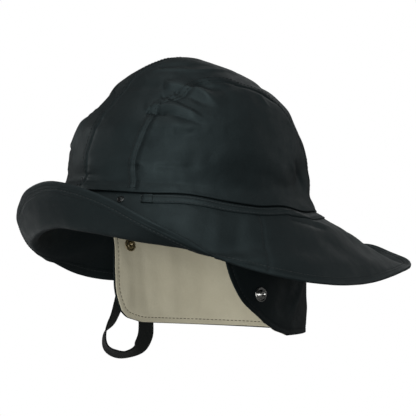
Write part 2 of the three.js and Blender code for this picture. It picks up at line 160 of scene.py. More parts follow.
# Where the head seam waves: turn, spread and height.
SEAM_WAVES = [(57, 14, 2.5), (103, 8, 1.7), (121, 8, -1.2)]

# The side panel's seam on the wearer's left, as turns and heights from the front to the back.
SIDE_SEAM = [
    (32.4, 8), (32.2, 17.3), (31, 26), (31.5, 37), (33, 48.9), (35, 58.3), (37, 67), (37.4, 73),
    (38.4, 78.2), (42.2, 82.3), (48.8, 85.3), (53.6, 88.2), (59.4, 92.4), (66.5, 96.6), (82.2, 98.6),
    (95.2, 97.4), (106, 94), (116, 90), (125, 82), (131, 68), (134.5, 50), (137.5, 35), (141, 18),
    (142.5, -3),
]

# The left half of the brim: turn, fold x y z, edge x y z, sag, and the lift of the right half.
BRIM_ROWS = [
    (0, 0, -125, -17, 0, -134.5, 18, 0, 0),
    (15, 24, -122.5, -19.5, 28, -131.6, 14.2, 0, 0),
    (30, 47, -114.5, -23.2, 54, -122.6, 5.6, 0, 0),
    (42, 68.5, -101.5, -27.2, 82, -106.7, -9.8, 0, 0),
    (55, 88, -81, -31.6, 98, -80.7, -25, 0, 0),
    (70, 103, -50, -37.6, 110, -48, -43, 0, 0),
    (89, 109, -1, -31, 125, 0, -56, 0, 0),
    (107, 106, 40, -33, 124, 49, -62, 0, 2),
    (127, 92, 87, -33, 107, 104, -60.5, 0, 8),
    (146, 61, 132, -33, 75, 163, -52, 2, 12),
    (159, 39, 154, -34.5, 51, 189, -47.8, 6, 13),
    (170, 18, 164, -29, 26, 206, -43.4, 8.5, 12),
    (180, 0, 166, -23, 0, 212, -38.4, 9, 0),
]

# What the right half's fold and edge near the front are raised by, or lowered by where it is below 0, for
# the turn of the same row on the left half.
RIGHT_ROLL = {30: (-1, -0.5), 42: (-2.5, -2.5), 55: (-5, -6.5), 70: (-3, -4.5), 89: (-0.5, -2)}

# Soft folds of the brim: turns and shares of the way from seam to edge, half widths, height, roundness.
BRIM_FOLDS = [
    ([(60, 0.08), (58, 0.3), (57, 0.5)], 8, 8, 0.6, 2),
    ([(71, 0.1), (70, 0.35), (69, 0.6)], 6, 6, 0.4, 2),
    ([(79, 0.1), (78, 0.35), (76, 0.65)], 6, 6, -0.4, 2),
    ([(71, 0.885), (76, 0.875), (80, 0.87)], 1, 2, 0.5, 1.4),
    ([(101, 0.06), (112, 0.09), (124, 0.16), (133, 0.24)], 2.2, 3, 1.5, 1.5),
    ([(104, 0.13), (115, 0.17), (127, 0.24)], 3.5, 3.5, -1.3, 2),
    ([(118, 0.3), (124, 0.6), (130, 0.85)], 12, 12, -1.2, 2),
    ([(140, 0.3), (150, 0.6), (158, 0.85)], 14, 14, 1.4, 2),
    ([(205, 0.2), (208, 0.5), (210, 0.8)], 12, 12, -1.2, 2),
    ([(236, 0.15), (240, 0.5), (244, 0.8)], 9, 9, 1, 2),
    ([(262, 0.12), (264, 0.5)], 7, 7, -0.8, 2),
    ([(300, 0.1), (302, 0.4)], 7, 7, 0.8, 2),
]

# The flap from its sewn top (share 0) to its hem (share 1): half length, half width, and the turns of
# its left and right front edges.
FLAP_ROWS = np.array([
    (0, 103.7, 85, 77, 79.5), (0.15, 104, 81, 77.2, 79.2), (0.3, 104.5, 76.5, 77.6, 79),
    (0.45, 105, 73.5, 80, 78.4), (0.6, 105, 72, 84, 77.9), (0.75, 105, 72, 90.3, 78.5),
    (0.9, 105, 72, 102, 81.7), (0.96, 105, 72, 109.5, 85.9), (1, 105, 72, 119, 93),
], float)

# Soft folds of the flap: turns and heights, half widths, height and roundness.
FLAP_FOLDS = [
    ([(137, -40), (135.6, -60), (130, -72.4), (124, -83.2), (119.5, -99)], 5, 5, 2.2, 1.5),
    ([(121, -52), (117, -70), (111, -88)], 7, 7, -1, 2),
    ([(276, -30), (275, -60), (274, -92)], 6, 6, -0.9, 2),
    ([(266, -30), (265, -60), (263, -92)], 5, 5, 0.8, 2),
    ([(252, -20), (251, -60), (252, -92)], 8, 8, -1.3, 2),
    ([(232, -20), (234, -60), (233, -94)], 9, 9, 1.4, 2),
    ([(212, -20), (211, -60), (212, -95)], 8, 8, -1.3, 2),
    ([(193, -20), (192, -60), (193, -97)], 9, 9, 1.4, 2),
    ([(170, -20), (171, -60), (170, -98)], 9, 9, -1.2, 2),
    ([(152, -20), (151, -60), (152, -99)], 8, 8, 0.9, 2),
]

# The strap's middle line from its snapped end to its sewn end: turn, height, distance out from the
# flap, and the way its face looks.
STRAP_ROUTE = [
    (272, -25.5, STRAP_OUT, (-1, 0, 0)), (272, -33, STRAP_OUT, (-1, 0, 0)), (270.5, -44, 3.5, (-1, 0, 0)),
    (265, -62, 2, (-1, 0, 0)), (263.5, -82, 2, (-1, 0.05, 0)), (262.5, -98, 3, (-1, 0.1, 0.1)),
    (262.5, -108, 5.5, (-0.8, 0.2, 0.5)), (265, -117, 9, (-0.5, 0.3, 0.8)),
    (271, -121, 12.5, (-0.34, 0.26, 0.9)), (276.3, -118, 14.5, (-0.1, 0.6, 0.8)),
    (279.6, -111, 14.5, (0.4, 0.85, 0.3)), (280.2, -102, 12.5, (0.62, 0.79, 0)),
    (278, -92, 8.5, (0.86, 0.51, 0)), (276.8, -80, 4, (0.95, 0.32, 0)), (275, -70, 2.1, (1, 0.05, 0)),
    (273, -60, 2, (1, 0, 0)),
]

# Grid sizes
CROWN_AROUND = 372
FOLDS_TURN = 54  # where the crown's grid is closer, and how far round that reaches
FOLDS_SPREAD = 28
CROWN_UP = 128
BRIM_AROUND = 480
BRIM_ACROSS = 44
FLAP_ALONG = 340
FLAP_DOWN = 64
STRAP_STEPS = 170
STRIP_STEP = 1.6  # between the sections of a sewn strip, in millimetres

# Stitches: how thick the thread is, and how each one leans, which differs from stitch to stitch.
THREAD = 0.42
STITCH_LEAN = 0.05
LEAN_STEP = 12.9898


# Curves and tables

def bell(offset, spread):
    return np.exp(-((offset / spread) ** 2))


def smooth_step(x):
    x = np.clip(x, 0, 1)
    return x * x * (3 - 2 * x)


def unit(vectors):
    return vectors / np.maximum(np.linalg.norm(vectors, axis=-1, keepdims=True), 1e-9)


def curve_between(a, b, start, end, f):
    """The point at a share f from a to b of a curve that leaves along start and arrives along end."""
    return a + f * (start + f * (3 * (b - a) - 2 * start - end + f * (2 * (a - b) + start + end)))


def smooth_rows(rows, places, closed=False):
    """The rows of a table at places counted in rows, on a smooth curve through them."""
    last = len(rows) - 1
    i = np.clip(np.floor(places).astype(int), 0, last - 1)
    f = (places - i)[..., None]

    def row(k):
        return rows[k % last] if closed else rows[np.clip(k, 0, last)]

    a, b, c, d = row(i - 1), row(i), row(i + 1), row(i + 2)
    return curve_between(b, c, (c - a) / 2, (d - b) / 2, f)


def through(points, f):
    """Points at shares f of a smooth line through a few points."""
    points = np.asarray(points, float)
    return smooth_rows(points, np.asarray(f, float) * (len(points) - 1))


def point_on_lines(lines, f):
    """For each of n lines through k points, the point at f from 0 to 1 of a centripetal curve."""
    first = 2 * lines[:, :1] - lines[:, 1:2]
    final = 2 * lines[:, -1:] - lines[:, -2:-1]
    padded = np.concatenate([first, lines, final], axis=1)
    place = f * (lines.shape[1] - 1)
    i = np.clip(np.floor(place).astype(int), 0, lines.shape[1] - 2)
    w = (place - i)[:, None]
    n = np.arange(len(lines))
    p0, p1, p2, p3 = (padded[n, i + k] for k in range(4))

    def root_distance(a, b):
        return np.maximum(np.sqrt(np.linalg.norm(b - a, axis=1)), 1e-4)[:, None]

    d0, d1, d2 = root_distance(p0, p1), root_distance(p1, p2), root_distance(p2, p3)
    start = d1 * ((p1 - p0) / d0 - (p2 - p0) / (d0 + d1) + (p2 - p1) / d1)
    end = d1 * ((p2 - p1) / d1 - (p3 - p1) / (d1 + d2) + (p3 - p2) / d2)
    return curve_between(p1, p2, start, end, w)


def lengths_along(points, axis=0):
    """The length from the first point to each point, along rows or columns of points."""
    steps = np.diff(points, axis=axis, prepend=np.take(points, [0], axis))
    return np.cumsum(np.linalg.norm(steps, axis=-1), axis=axis)


def even_path(points, step, closed=False):
    """The same path with points an even distance apart, about step millimetres."""
    points = np.asarray(points, float)
    if closed:
        points = np.vstack([points, points[:1]])
    lengths = lengths_along(points)
    count = max(2, int(round(lengths[-1] / step)) + 1)
    at = np.linspace(0, lengths[-1], count)
    even = np.stack([np.interp(at, lengths, points[:, k]) for k in range(3)], axis=1)
    return even[:-1] if closed else even


def to_line(points, line):
    """Each point's distance to a line of points, how far along the line it is nearest, from 0 to 1, and
    how far above the line it stands there."""
    flat = points.reshape(-1, 3)
    best = np.full(len(flat), 1e18)
    along = np.zeros(len(flat))
    above = np.zeros(len(flat))
    count = len(line) - 1
    for k in range(count):
        a, span = line[k], line[k + 1] - line[k]
        t = np.clip((flat - a) @ span / max(span @ span, 1e-12), 0, 1)
        away = flat - a - t[:, None] * span
        distance = np.einsum("ij,ij->i", away, away)
        nearer = distance < best
        best[nearer] = distance[nearer]
        along[nearer] = (k + t[nearer]) / count
        above[nearer] = away[nearer, 2]
    return tuple(made.reshape(points.shape[:-1]) for made in (np.sqrt(best), along, above))


def fold_heights(points, folds, line_of):
    """How far the folds raise the cloth at each point."""
    total = np.zeros(points.shape[:-1])
    for places, above_width, below_width, height, roundness in folds:
        line = line_of(through(places, np.linspace(0, 1, 15)))
        distance, along, above = to_line(points, line)
        fade = smooth_step(along / 0.15) * smooth_step((1 - along) / 0.3)
        width = np.where(above > 0, above_width, below_width)
        total += height * fade * np.exp(-((distance / width) ** roundness))
    return total


def crumple(points, swells):
    """Small uneven swells of soft cloth."""
    total = np.zeros(points.shape[:-1])
    for size, height, seed in swells:
        shift = Vector((seed, 2 * seed, 3 * seed))
        made = [noise.noise(Vector(p) + shift) for p in points.reshape(-1, 3) / size]
        total += height * np.array(made).reshape(total.shape)
    return total


def pucker(points, line, width, height, length, seed):
    """Ripples that a seam's thread pulls into the cloth beside it."""
    distance, along, _ = to_line(points, line)
    places = (along * lengths_along(line)[-1] / length).ravel()
    made = np.array([noise.noise(Vector((place, seed, 0.5))) for place in places])
    return height * bell(distance, width) * made.reshape(distance.shape)


# The hat's faces

def seam_height(turn):
    front = np.cos(np.radians(turn))
    height = front * np.where(front > 0, FRONT_RISE, BACK_DROP)
    for place, spread, rise in SEAM_WAVES:
        height = height + rise * bell(np.asarray(turn) - place, spread)
    return height


def oval(turn, half_length, half_width, centre, height):
    angle = np.radians(turn)
    x = half_width * np.sin(angle)
    y = centre - half_length * np.cos(angle)
    return np.stack(np.broadcast_arrays(x, y, height), axis=-1)


def head_oval(turn, inset, above):
    """A point beside the head seam: its distance inside the crown's edge and above it."""
    height = seam_height(turn) + above
    return oval(turn, HEAD_LENGTH - inset, HEAD_WIDTH - inset, HEAD_CENTRE, height)


def crown_base(turn, rise):
    """A point of the crown's plain shape, at a rise from 0 at its lower edge to 1 at its top."""
    turn, rise = np.broadcast_arrays(np.asarray(turn, float), np.asarray(rise, float))
    rows = smooth_rows(CROWN_ROWS, rise * (len(CROWN_ROWS) - 1))
    height, half_length, half_width, centre, tilt = np.moveaxis(rows, -1, 0)
    height = height + np.maximum(tilt, 0) * seam_height(turn)
    inset = np.zeros(turn.shape)
    for dent_turn, dent_height, turn_spread, height_spread, depth in CROWN_DENTS:
        away = (turn - dent_turn + 540) % 360 - 180
        inset = inset + depth * bell(away, turn_spread) * bell(height - dent_height, height_spread)
    inset = np.minimum(inset, half_width)
    return oval(turn, half_length - inset, half_width - inset, centre, height)


def rise_at(turn, height):
    """The crown's rise from 0 to 1 at a turn and a height."""
    turn, height = (np.asarray(v, float) for v in np.broadcast_arrays(turn, height))
    low, high = np.zeros(turn.shape), np.ones(turn.shape)
    for _ in range(30):
        middle = (low + high) / 2
        under = crown_base(turn, middle)[..., 2] < height
        low = np.where(under, middle, low)
        high = np.where(under, high, middle)
    return (low + high) / 2


def crown_line(places):
    """Points on the crown from turns and heights."""
    turn, height = places[..., 0], places[..., 1]
    return crown_base(turn, rise_at(turn, height))


def base_normals(base, u, v, du, dv, v_low=0.0, v_high=1.0):
    """The direction out of a face given by a function of two numbers."""
    low, high = np.maximum(v - dv, v_low), np.minimum(v + dv, v_high)
    round_way = base(u + du, v) - base(u - du, v)
    up_way = base(u, high) - base(u, low)
    out = np.cross(round_way, up_way)
    thin = np.linalg.norm(out, axis=-1) < 1e-7
    out[thin] = (0, 0, 1)
    return unit(out)


def side_seam_path(mirrored=False):
    places = through(SIDE_SEAM, np.linspace(0, 1, 90))
    if mirrored:
        places[:, 0] = 360 - places[:, 0]
    return crown_line(places)


def centre_seam_path():
    front = crown_base(np.zeros(60), np.linspace(0, 1, 60))
    back = crown_base(np.full(60, 180.0), np.linspace(1, 0, 60))
    return np.vstack([front, back[1:]])


CROWN_SEAMS = [side_seam_path(), side_seam_path(mirrored=True), centre_seam_path()]


def on_side_panel(points, **beyond):
    """Whether each point is on a side panel and not on the centre strip."""
    seam = CROWN_SEAMS[0]
    heights = np.interp(points[..., 1], seam[:, 1], seam[:, 2], **beyond)
    return (points[..., 2] < heights) & (np.abs(points[..., 0]) > 30)


def crown_lift(points):
    """How far the crown's cloth stands out from its plain shape, and how far its folds raise it."""
    folds = fold_heights(points, CROWN_FOLDS, crown_line)
    made = folds + crumple(points, CROWN_SWELLS)
    for k, line in enumerate(CROWN_SEAMS):
        distance, _, _ = to_line(points, line)
        made = made - CROWN_SEAM_DENT * bell(distance, 1.5)
        if k < 2:
            puff = smooth_step(distance / 4) - smooth_step(distance / 50)
            made = made + PANEL_PUFF * on_side_panel(points, left=-99, right=-99) * puff
        calm = 0.3 + 0.7 * smooth_step((86 - points[..., 2]) / 12)
        for width, height, length, seed in SEAM_RIPPLES:
            made = made + calm * pucker(points, line, width, height, length, seed + k)
    return made, folds


def whole_brim():
    """The rows of both halves of the brim, round to the first one again."""
    rows = [list(row) for row in BRIM_ROWS]
    for row in reversed(BRIM_ROWS[1:-1]):
        turn, fold_x, fold_y, fold_z, edge_x, edge_y, edge_z, sag, lift = row
        fold_roll, edge_roll = RIGHT_ROLL.get(turn, (0, 0))
        fold = [-fold_x, fold_y, fold_z + lift / 4 + fold_roll]
        rows.append([360 - turn, *fold, -edge_x, edge_y, edge_z + lift + edge_roll, sag, lift])
    rows.append([360, *BRIM_ROWS[0][1:]])
    return np.array(rows, float)


BRIM_LOOP = whole_brim()


def brim_lines(turn):
    """The five points that the brim's face runs through at each turn."""
    turn = turn % 360
    rows = smooth_rows(BRIM_LOOP, np.interp(turn, BRIM_LOOP[:, 0], np.arange(len(BRIM_LOOP))), closed=True)
    seam = head_oval(turn, BRIM_START, -BRIM_DROP)
    fold, edge, sag = rows[:, 1:4], rows[:, 4:7], rows[:, 7]
    away = fold - seam
    away[:, 2] = 0
    away = unit(away)
    inner = (seam + fold) / 2 + 2 * away
    outer = (fold + edge) / 2 + 2.5 * away
    outer[:, 2] -= sag
    return np.stack([seam, inner, fold, outer, edge], axis=1)


def brim_base(turn, across):
    """A point of the brim's plain shape, at a share across from 0 at the head seam to 1 at its edge."""
    turn, across = np.broadcast_arrays(np.asarray(turn, float), np.asarray(across, float))
    made = point_on_lines(brim_lines(turn.ravel()), across.ravel())
    return made.reshape(turn.shape + (3,))


def brim_line(places):
    return brim_base(places[..., 0], places[..., 1])


def brim_across(turn, distance):
    """The share of the way across the brim at a distance from the head seam, or from the edge if the
    distance is below 0."""
    turn = np.atleast_1d(np.asarray(turn, float))
    shares = np.linspace(0, 1, 81)
    lengths = lengths_along(brim_base(turn[:, None], shares[None, :]), 1)
    distance = np.broadcast_to(np.atleast_2d(distance), (len(turn), np.atleast_2d(distance).shape[1]))
    wanted = np.where(distance < 0, lengths[:, -1:] + distance, distance)
    return np.stack([np.interp(w, row, shares) for w, row in zip(wanted, lengths)])


def flap_hem(turn):
    left, right = FLAP_ROWS[-1, 3], 360 - FLAP_ROWS[-1, 4]
    along = np.clip((turn - left) / (right - left), 0, 1)
    return FLAP_LEFT_HEM + (FLAP_RIGHT_HEM - FLAP_LEFT_HEM) * along


def flap_columns(share):
    places = np.interp(share, FLAP_ROWS[:, 0], np.arange(len(FLAP_ROWS)))
    return smooth_rows(FLAP_ROWS, places)


def flap_base(turn, share):
    """A point of the flap's face. Above its sewn top, where share is below 0, the cloth leans in."""
    turn, share = np.broadcast_arrays(np.asarray(turn, float), np.asarray(share, float))
    rows = flap_columns(np.maximum(share, 0))
    top = seam_height(turn) - FLAP_DROP
    height = top + (flap_hem(turn) - top) * share
    inset = 0.75 * np.maximum(height - top, 0)
    return oval(turn, rows[..., 1] - inset, rows[..., 2] - inset, HEAD_CENTRE, height)


def flap_share(turn, height):
    top = seam_height(turn) - FLAP_DROP
    return (height - top) / (flap_hem(turn) - top)


def flap_line(places):
    turn, height = places[..., 0], places[..., 1]
    return flap_base(turn, flap_share(turn, height))


def flap_out(turn, share):
    """The direction out of the flap."""
    return -base_normals(flap_base, turn, share, 1, 0.01, -1, 2)


# Meshes

def grid_faces(rows, columns, wrap):
    r, c = np.meshgrid(np.arange(rows - 1), np.arange(columns if wrap else columns - 1), indexing="ij")
    after = (c + 1) % columns
    corners = [r * columns + c, r * columns + after, (r + 1) * columns + after, (r + 1) * columns + c]
    return np.stack(corners, axis=-1).reshape(-1, 4)


def border_loops(rows, columns, wrap):
    """The grid places along each border of a patch of cloth."""
    if wrap:
        return [[(r, c) for c in range(columns)] for r in (0, rows - 1)]
    bottom = [(0, c) for c in range(columns)]
    side = [(r, columns - 1) for r in range(1, rows)]
    top = [(rows - 1, c) for c in range(columns - 2, -1, -1)]
    other = [(r, 0) for r in range(rows - 2, 0, -1)]
    return [bottom + side + top + other]


def cloth_wall(face, back, wrap):
    """A closed wall of cloth between two grids of points, with rounded borders. Returns its points,
    its faces and, for each of its points, the grid place it came from."""
    rows, columns = face.shape[:2]
    count = rows * columns
    points = [face.reshape(-1, 3), back.reshape(-1, 3)]
    faces = [grid_faces(rows, columns, wrap), grid_faces(rows, columns, wrap)[:, ::-1] + count]
    source = [np.arange(count), np.arange(count)]
    base = 2 * count
    for loop in border_loops(rows, columns, wrap):
        places = np.array([r * columns + c for r, c in loop])
        outer, inner = points[0][places], points[1][places]
        if np.linalg.norm(outer - outer[:1], axis=1).max() < 1e-6:
            continue
        second = []
        for r, c in loop:
            r2 = min(max(r, 1), rows - 2)
            c2 = c if wrap else min(max(c, 1), columns - 2)
            second.append(r2 * columns + c2)
        away = unit(outer - points[0][second])
        middle, half = (outer + inner) / 2, (outer - inner) / 2
        bulge = np.linalg.norm(half, axis=1, keepdims=True)
        strips = [places]
        for angle in np.radians([40, 90, 140]):
            points.append(middle + half * math.cos(angle) + away * bulge * math.sin(angle))
            source.append(places)
            strips.append(base + np.arange(len(loop)))
            base += len(loop)
        strips.append(places + count)
        for a, b in zip(strips, strips[1:]):
            faces.append(np.stack([a, b, np.roll(b, -1), np.roll(a, -1)], axis=-1))
    return np.vstack(points), np.vstack(faces), np.concatenate(source)


def tube_faces(rings, around):
    """The faces of a tube through rings of points, with a cap on each end."""
    count = rings * around
    caps = [list(range(around))[::-1], list(range(count - around, count))]
    return grid_faces(rings, around, True).tolist() + caps


def mesh_piece(name, points, faces, material, slot, node=None, uvs=None, wear_and_highlight=None):
    """A smooth piece of the hat, on the hat's one body. node is the solid that it stands for."""
    points = np.asarray(points, float)
    mesh = bpy.data.meshes.new(name)
    mesh.from_pydata((points * MM).tolist(), [], [list(map(int, f)) for f in faces])
    # A vertex value that paints the cloth lighter: scuffs, and painted highlight on raised folds and the
    # hem.
    if wear_and_highlight is not None:
        attribute = mesh.attributes.new("wear_and_highlight", "FLOAT", "POINT")
        attribute.data.foreach_set("value", np.asarray(wear_and_highlight, np.float32))
    layer = mesh.uv_layers.new(name="cloth")
    if uvs is not None:
        layer.data.foreach_set("uv", np.asarray(uvs, np.float32).ravel())
    piece = bpy.data.objects.new(name, mesh)
    bpy.context.scene.collection.objects.link(piece)
    tidy_mesh(mesh)
    mesh.materials.append(material)
    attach(piece, "root")
    if node is not None:
        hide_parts(node)
    return piece


def tidy_mesh(mesh):
    """Joins doubled points, drops flat faces, turns the faces out and smooths them."""
    edit = bmesh.new()
    edit.from_mesh(mesh)
    bmesh.ops.remove_doubles(edit, verts=edit.verts, dist=1e-7)
    bmesh.ops.dissolve_degenerate(edit, edges=edit.edges, dist=1e-8)
    bmesh.ops.recalc_face_normals(edit, faces=edit.faces)
    for face in edit.faces:
        face.smooth = True
    edit.to_mesh(mesh)
    edit.free()
    mesh.update()


class Face:
    """One side of a piece, to lay seams, stitches and metal on. plain and normals are the same side
    without its folds, and the directions out of it."""

    def __init__(self, grid, plain, normals, wrap):
        faces = grid_faces(grid.shape[0], grid.shape[1], wrap)
        self.tree = BVHTree.FromPolygons(grid.reshape(-1, 3).tolist(), faces.tolist())
        self.plain_tree = BVHTree.FromPolygons(plain.reshape(-1, 3).tolist(), faces.tolist())
        self.faces = faces
        self.normals = normals.reshape(-1, 3)

    def out(self, point):
        """The direction out of the plain side near a point."""
        index = self.plain_tree.find_nearest(Vector(point))[2]
        return unit(self.normals[self.faces[index]].sum(axis=0))

    def below(self, point, normal, reach=5.0):
        """The face's point under or over a point, along a normal."""
        start = Vector(point + reach * normal)
        location = self.tree.ray_cast(start, Vector(-normal), 3 * reach)[0]
        return np.array(location if location is not None else self.tree.find_nearest(Vector(point))[0])


def smoothed(vectors, turns, closed):
    """Unit vectors along a path, each averaged with its neighbours a few times."""
    for _ in range(turns):
        if closed:
            vectors = np.roll(vectors, 1, 0) + 2 * vectors + np.roll(vectors, -1, 0)
        else:
            padded = np.vstack([vectors[:1], vectors, vectors[-1:]])
            vectors = padded[:-2] + 2 * vectors + padded[2:]
        vectors = unit(vectors)
    return vectors


def path_frames(path, face, closed=False):
    """Along a path on a face: its tangents, the face's normals and the directions to the path's left."""
    ahead, behind = np.roll(path, -1, 0), np.roll(path, 1, 0)
    if not closed:
        ahead[-1], behind[0] = path[-1], path[0]
    tangents = unit(ahead - behind)
    normals = smoothed(np.array([face.out(p) for p in path]), 3, closed)
    normals = unit(normals - np.einsum("ij,ij->i", normals, tangents)[:, None] * tangents)
    return tangents, normals, np.cross(normals, tangents)


def ribbon(path, face, profile, ends=0, levels=None):
    """A strip laid along a path on a face. profile is (distance to the left, height) round the strip's
    section. ends rounds the height off over that many points, and levels scales it at each point.
    Returns points and faces."""
    _, normals, sides = path_frames(path, face)
    rings = []
    for k, (point, normal, side) in enumerate(zip(path, normals, sides)):
        to_end = min(k, len(path) - 1 - k)
        level = 1 if ends == 0 else math.sqrt(min(1, (to_end + 0.3) / ends))
        level = level if levels is None else level * levels[k]
        ring = []
        for distance, height in profile:
            place = face.below(point + distance * side, normal)
            ring.append(place + normal * (height * level if height > 0 else height))
        rings.append(ring)
    return np.array(rings).reshape(-1, 3), tube_faces(len(rings), len(profile))


def strip_uvs(around, faces):
    """Flat places for a strip's faces, in metres: along the strip and round its section."""
    corners = np.concatenate(faces)
    section_step = 0.8
    return np.stack([corners // around * STRIP_STEP, corners % around * section_step], axis=-1) * MM


def joined(parts):
    """Several lists of points and faces as one."""
    points, faces, start = [], [], 0
    for some_points, some_faces in parts:
        points.append(np.asarray(some_points))
        faces.extend([[int(i) + start for i in f] for f in some_faces])
        start += len(some_points)
    return np.vstack(points), faces


def stitch_shape(length, width, height):
    """One stitch lying along x with z up: a thin capsule with pinched ends."""
    rings = []
    for share, size in ((-1, 0.35), (-0.82, 0.75), (-0.4, 1), (0.4, 1), (0.82, 0.75), (1, 0.35)):
        drop = -0.25 * height * share ** 4
        for angle in np.linspace(0, 2 * math.pi, 6, endpoint=False):
            y = width / 2 * size * math.cos(angle)
            rings.append((share * length / 2, y, height / 2 * size * math.sin(angle) + drop))
    return np.array(rings), tube_faces(6, 6)


def stitch_row(path, face, away, above, length=2.5, gap=0.9, width=0.5, closed=False):
    """A row of stitches beside a path: away to its left, above the face."""
    pitch = length + gap
    even = even_path(path, pitch, closed)
    tangents, normals, sides = path_frames(even, face, closed)
    shape, shape_faces = stitch_shape(length, width, THREAD)
    parts = []
    for k, (point, tangent, normal, side) in enumerate(zip(even, tangents, normals, sides)):
        lean = STITCH_LEAN * math.sin(LEAN_STEP * k)
        along = unit(tangent + lean * side)
        across = np.cross(normal, along)
        place = face.below(point + away * side, normal) + above * normal
        parts.append((place + shape @ np.array([along, across, normal]), shape_faces))
    return joined(parts)


def turned_shape(outline, point, axis, segments=48):
    """A turned metal part from its outline of radius and height, standing on a point along an axis."""
    axis = unit(np.asarray(axis, float))
    first = unit(np.cross(axis, (0.3, 0.1, 1.0)))
    second = np.cross(axis, first)
    rings = []
    for radius, height in outline:
        for angle in np.linspace(0, 2 * math.pi, segments, endpoint=False):
            spoke = math.cos(angle) * first + math.sin(angle) * second
            rings.append(point + height * axis + radius * spoke)
    return np.array(rings), grid_faces(len(outline), segments, True)


def rounded_outline(points, radius, steps):
    """An outline whose corners between its first and last points are rounded."""
    made = [tuple(points[0])]
    for before, corner, after in zip(points, points[1:], points[2:]):
        before, corner, after = (np.array(p, float) for p in (before, corner, after))
        reach = min(radius, np.linalg.norm(corner - before) / 2.1, np.linalg.norm(after - corner) / 2.1)
        start = corner + unit(before - corner) * reach
        end = corner + unit(after - corner) * reach
        for t in np.linspace(0, 1, steps + 1):
            made.append(tuple((1 - t) ** 2 * start + 2 * t * (1 - t) * corner + t * t * end))
    made.append(tuple(points[-1]))
    return made


# Materials

def new_material(name):
    material = bpy.data.materials.new(name)
    material.use_nodes = True
    tree = material.node_tree
    tree.nodes.clear()
    output = tree.nodes.new("ShaderNodeOutputMaterial")
    shader = tree.nodes.new("ShaderNodeBsdfPrincipled")
    tree.links.new(shader.outputs[0], output.inputs[0])
    return material, tree, shader


def add_node(tree, kind, values=None, **settings):
    made = tree.nodes.new(kind)
    for key, value in settings.items():
        setattr(made, key, value)
    for key, value in (values or {}).items():
        made.inputs[key].default_value = value
    return made


def grain(tree, size, detail=3.0):
    """Noise whose spots are about size metres across."""
    place = add_node(tree, "ShaderNodeTexCoord")
    spots = add_node(tree, "ShaderNodeTexNoise", {"Scale": 1 / size, "Detail": detail, "Roughness": 0.55})
    tree.links.new(place.outputs["Object"], spots.inputs["Vector"])
    return spots.outputs["Fac"]


def weave(tree, pitch):
    """The height of a plain weave whose threads are pitch metres apart, from the cloth's flat places."""
    place = add_node(tree, "ShaderNodeTexCoord")
    heights = []
    for direction in ("X", "Y"):
        wave_sizes = {"Scale": math.pi / (10 * pitch), "Distortion": 0.6, "Detail": 1.0}
        wave = add_node(tree, "ShaderNodeTexWave", wave_sizes, bands_direction=direction)
        tree.links.new(place.outputs["UV"], wave.inputs["Vector"])
        heights.append(wave.outputs["Fac"])
    both = add_node(tree, "ShaderNodeMath", operation="MULTIPLY")
    tree.links.new(heights[0], both.inputs[0])
    tree.links.new(heights[1], both.inputs[1])
    return both.outputs[0]


def mixed(tree, factor, first, second):
    """A colour between two, each a colour or another node's output."""
    mix = add_node(tree, "ShaderNodeMix", data_type="RGBA")
    tree.links.new(factor, mix.inputs["Factor"])
    for socket, value in ((mix.inputs["A"], first), (mix.inputs["B"], second)):
        if isinstance(value, tuple):
            socket.default_value = (*value, 1)
        else:
            tree.links.new(value, socket)
    return mix.outputs["Result"]


def ranged(tree, value, low, high, new_low, new_high):
    scale = add_node(tree, "ShaderNodeMapRange")
    tree.links.new(value, scale.inputs["Value"])
    for name, number in zip(("From Min", "From Max", "To Min", "To Max"), (low, high, new_low, new_high)):
        scale.inputs[name].default_value = number
    return scale.outputs["Result"]


def speckle(tree, size, low, high, detail=3.0):
    """Noise from 0 to 1 with flat stretches at both ends."""
    return ranged(tree, grain(tree, size, detail), low, high, 0, 1)


def bumped(tree, shader, heights):
    """Bumps from a list of (height, strength, depth in metres), one on another."""
    before = None
    for height, strength, depth in heights:
        bump = add_node(tree, "ShaderNodeBump", {"Strength": strength, "Distance": depth})
        tree.links.new(height, bump.inputs["Height"])
        if before is not None:
            tree.links.new(before, bump.inputs["Normal"])
        before = bump.outputs["Normal"]
    tree.links.new(before, shader.inputs["Normal"])


# A colour scaled by depth: 1 gives the cloth's own colour, and below 1 paints shade into it.
def shade(red, green, blue, depth):
    return red * depth, green * depth, blue * depth


# depth darkens every colour of the cloth; below 1 it is painted shade.
def coated_cloth(name, depth, specular):
    """Black cloth with a dull rubbery coat: a fine weave that barely shows, and its fold ridges and hem
    painted lighter, partly as scuffs and partly as painted highlight.
    """
    material, tree, shader = new_material(name)
    spots = speckle(tree, 0.03, 0.35, 0.65)
    base = mixed(tree, spots, shade(0.0030, 0.0044, 0.0048, depth), shade(0.0044, 0.0063, 0.0068, depth))
    fine = speckle(tree, 0.0012, 0.3, 0.75, 4.0)
    base = mixed(tree, fine, base, shade(0.0056, 0.0080, 0.0086, depth))
    # Raised folds and the brim's hem are painted lighter by a vertex attribute: scuffs there, and a painted
    # highlight where light falls on them.
    wear_and_highlight = add_node(tree, "ShaderNodeAttribute", attribute_name="wear_and_highlight").outputs["Fac"]
    base = mixed(tree, wear_and_highlight, base, (0.0130, 0.0175, 0.0185))
    tree.links.new(base, shader.inputs["Base Color"])
    tree.links.new(ranged(tree, grain(tree, 0.012), 0.3, 0.7, 0.5, 0.6), shader.inputs["Roughness"])
    shader.inputs["Specular IOR Level"].default_value = specular
    shader.inputs["Specular Tint"].default_value = (0.74, 1.0, 1.04, 1)
    bumped(tree, shader, [
        (grain(tree, 0.008, 2.0), 0.35, 0.0006),
        (grain(tree, 0.0016, 3.0), 0.3, 0.0002),
        (weave(tree, 0.0006), 0.25, 0.0001),
    ])
    return material


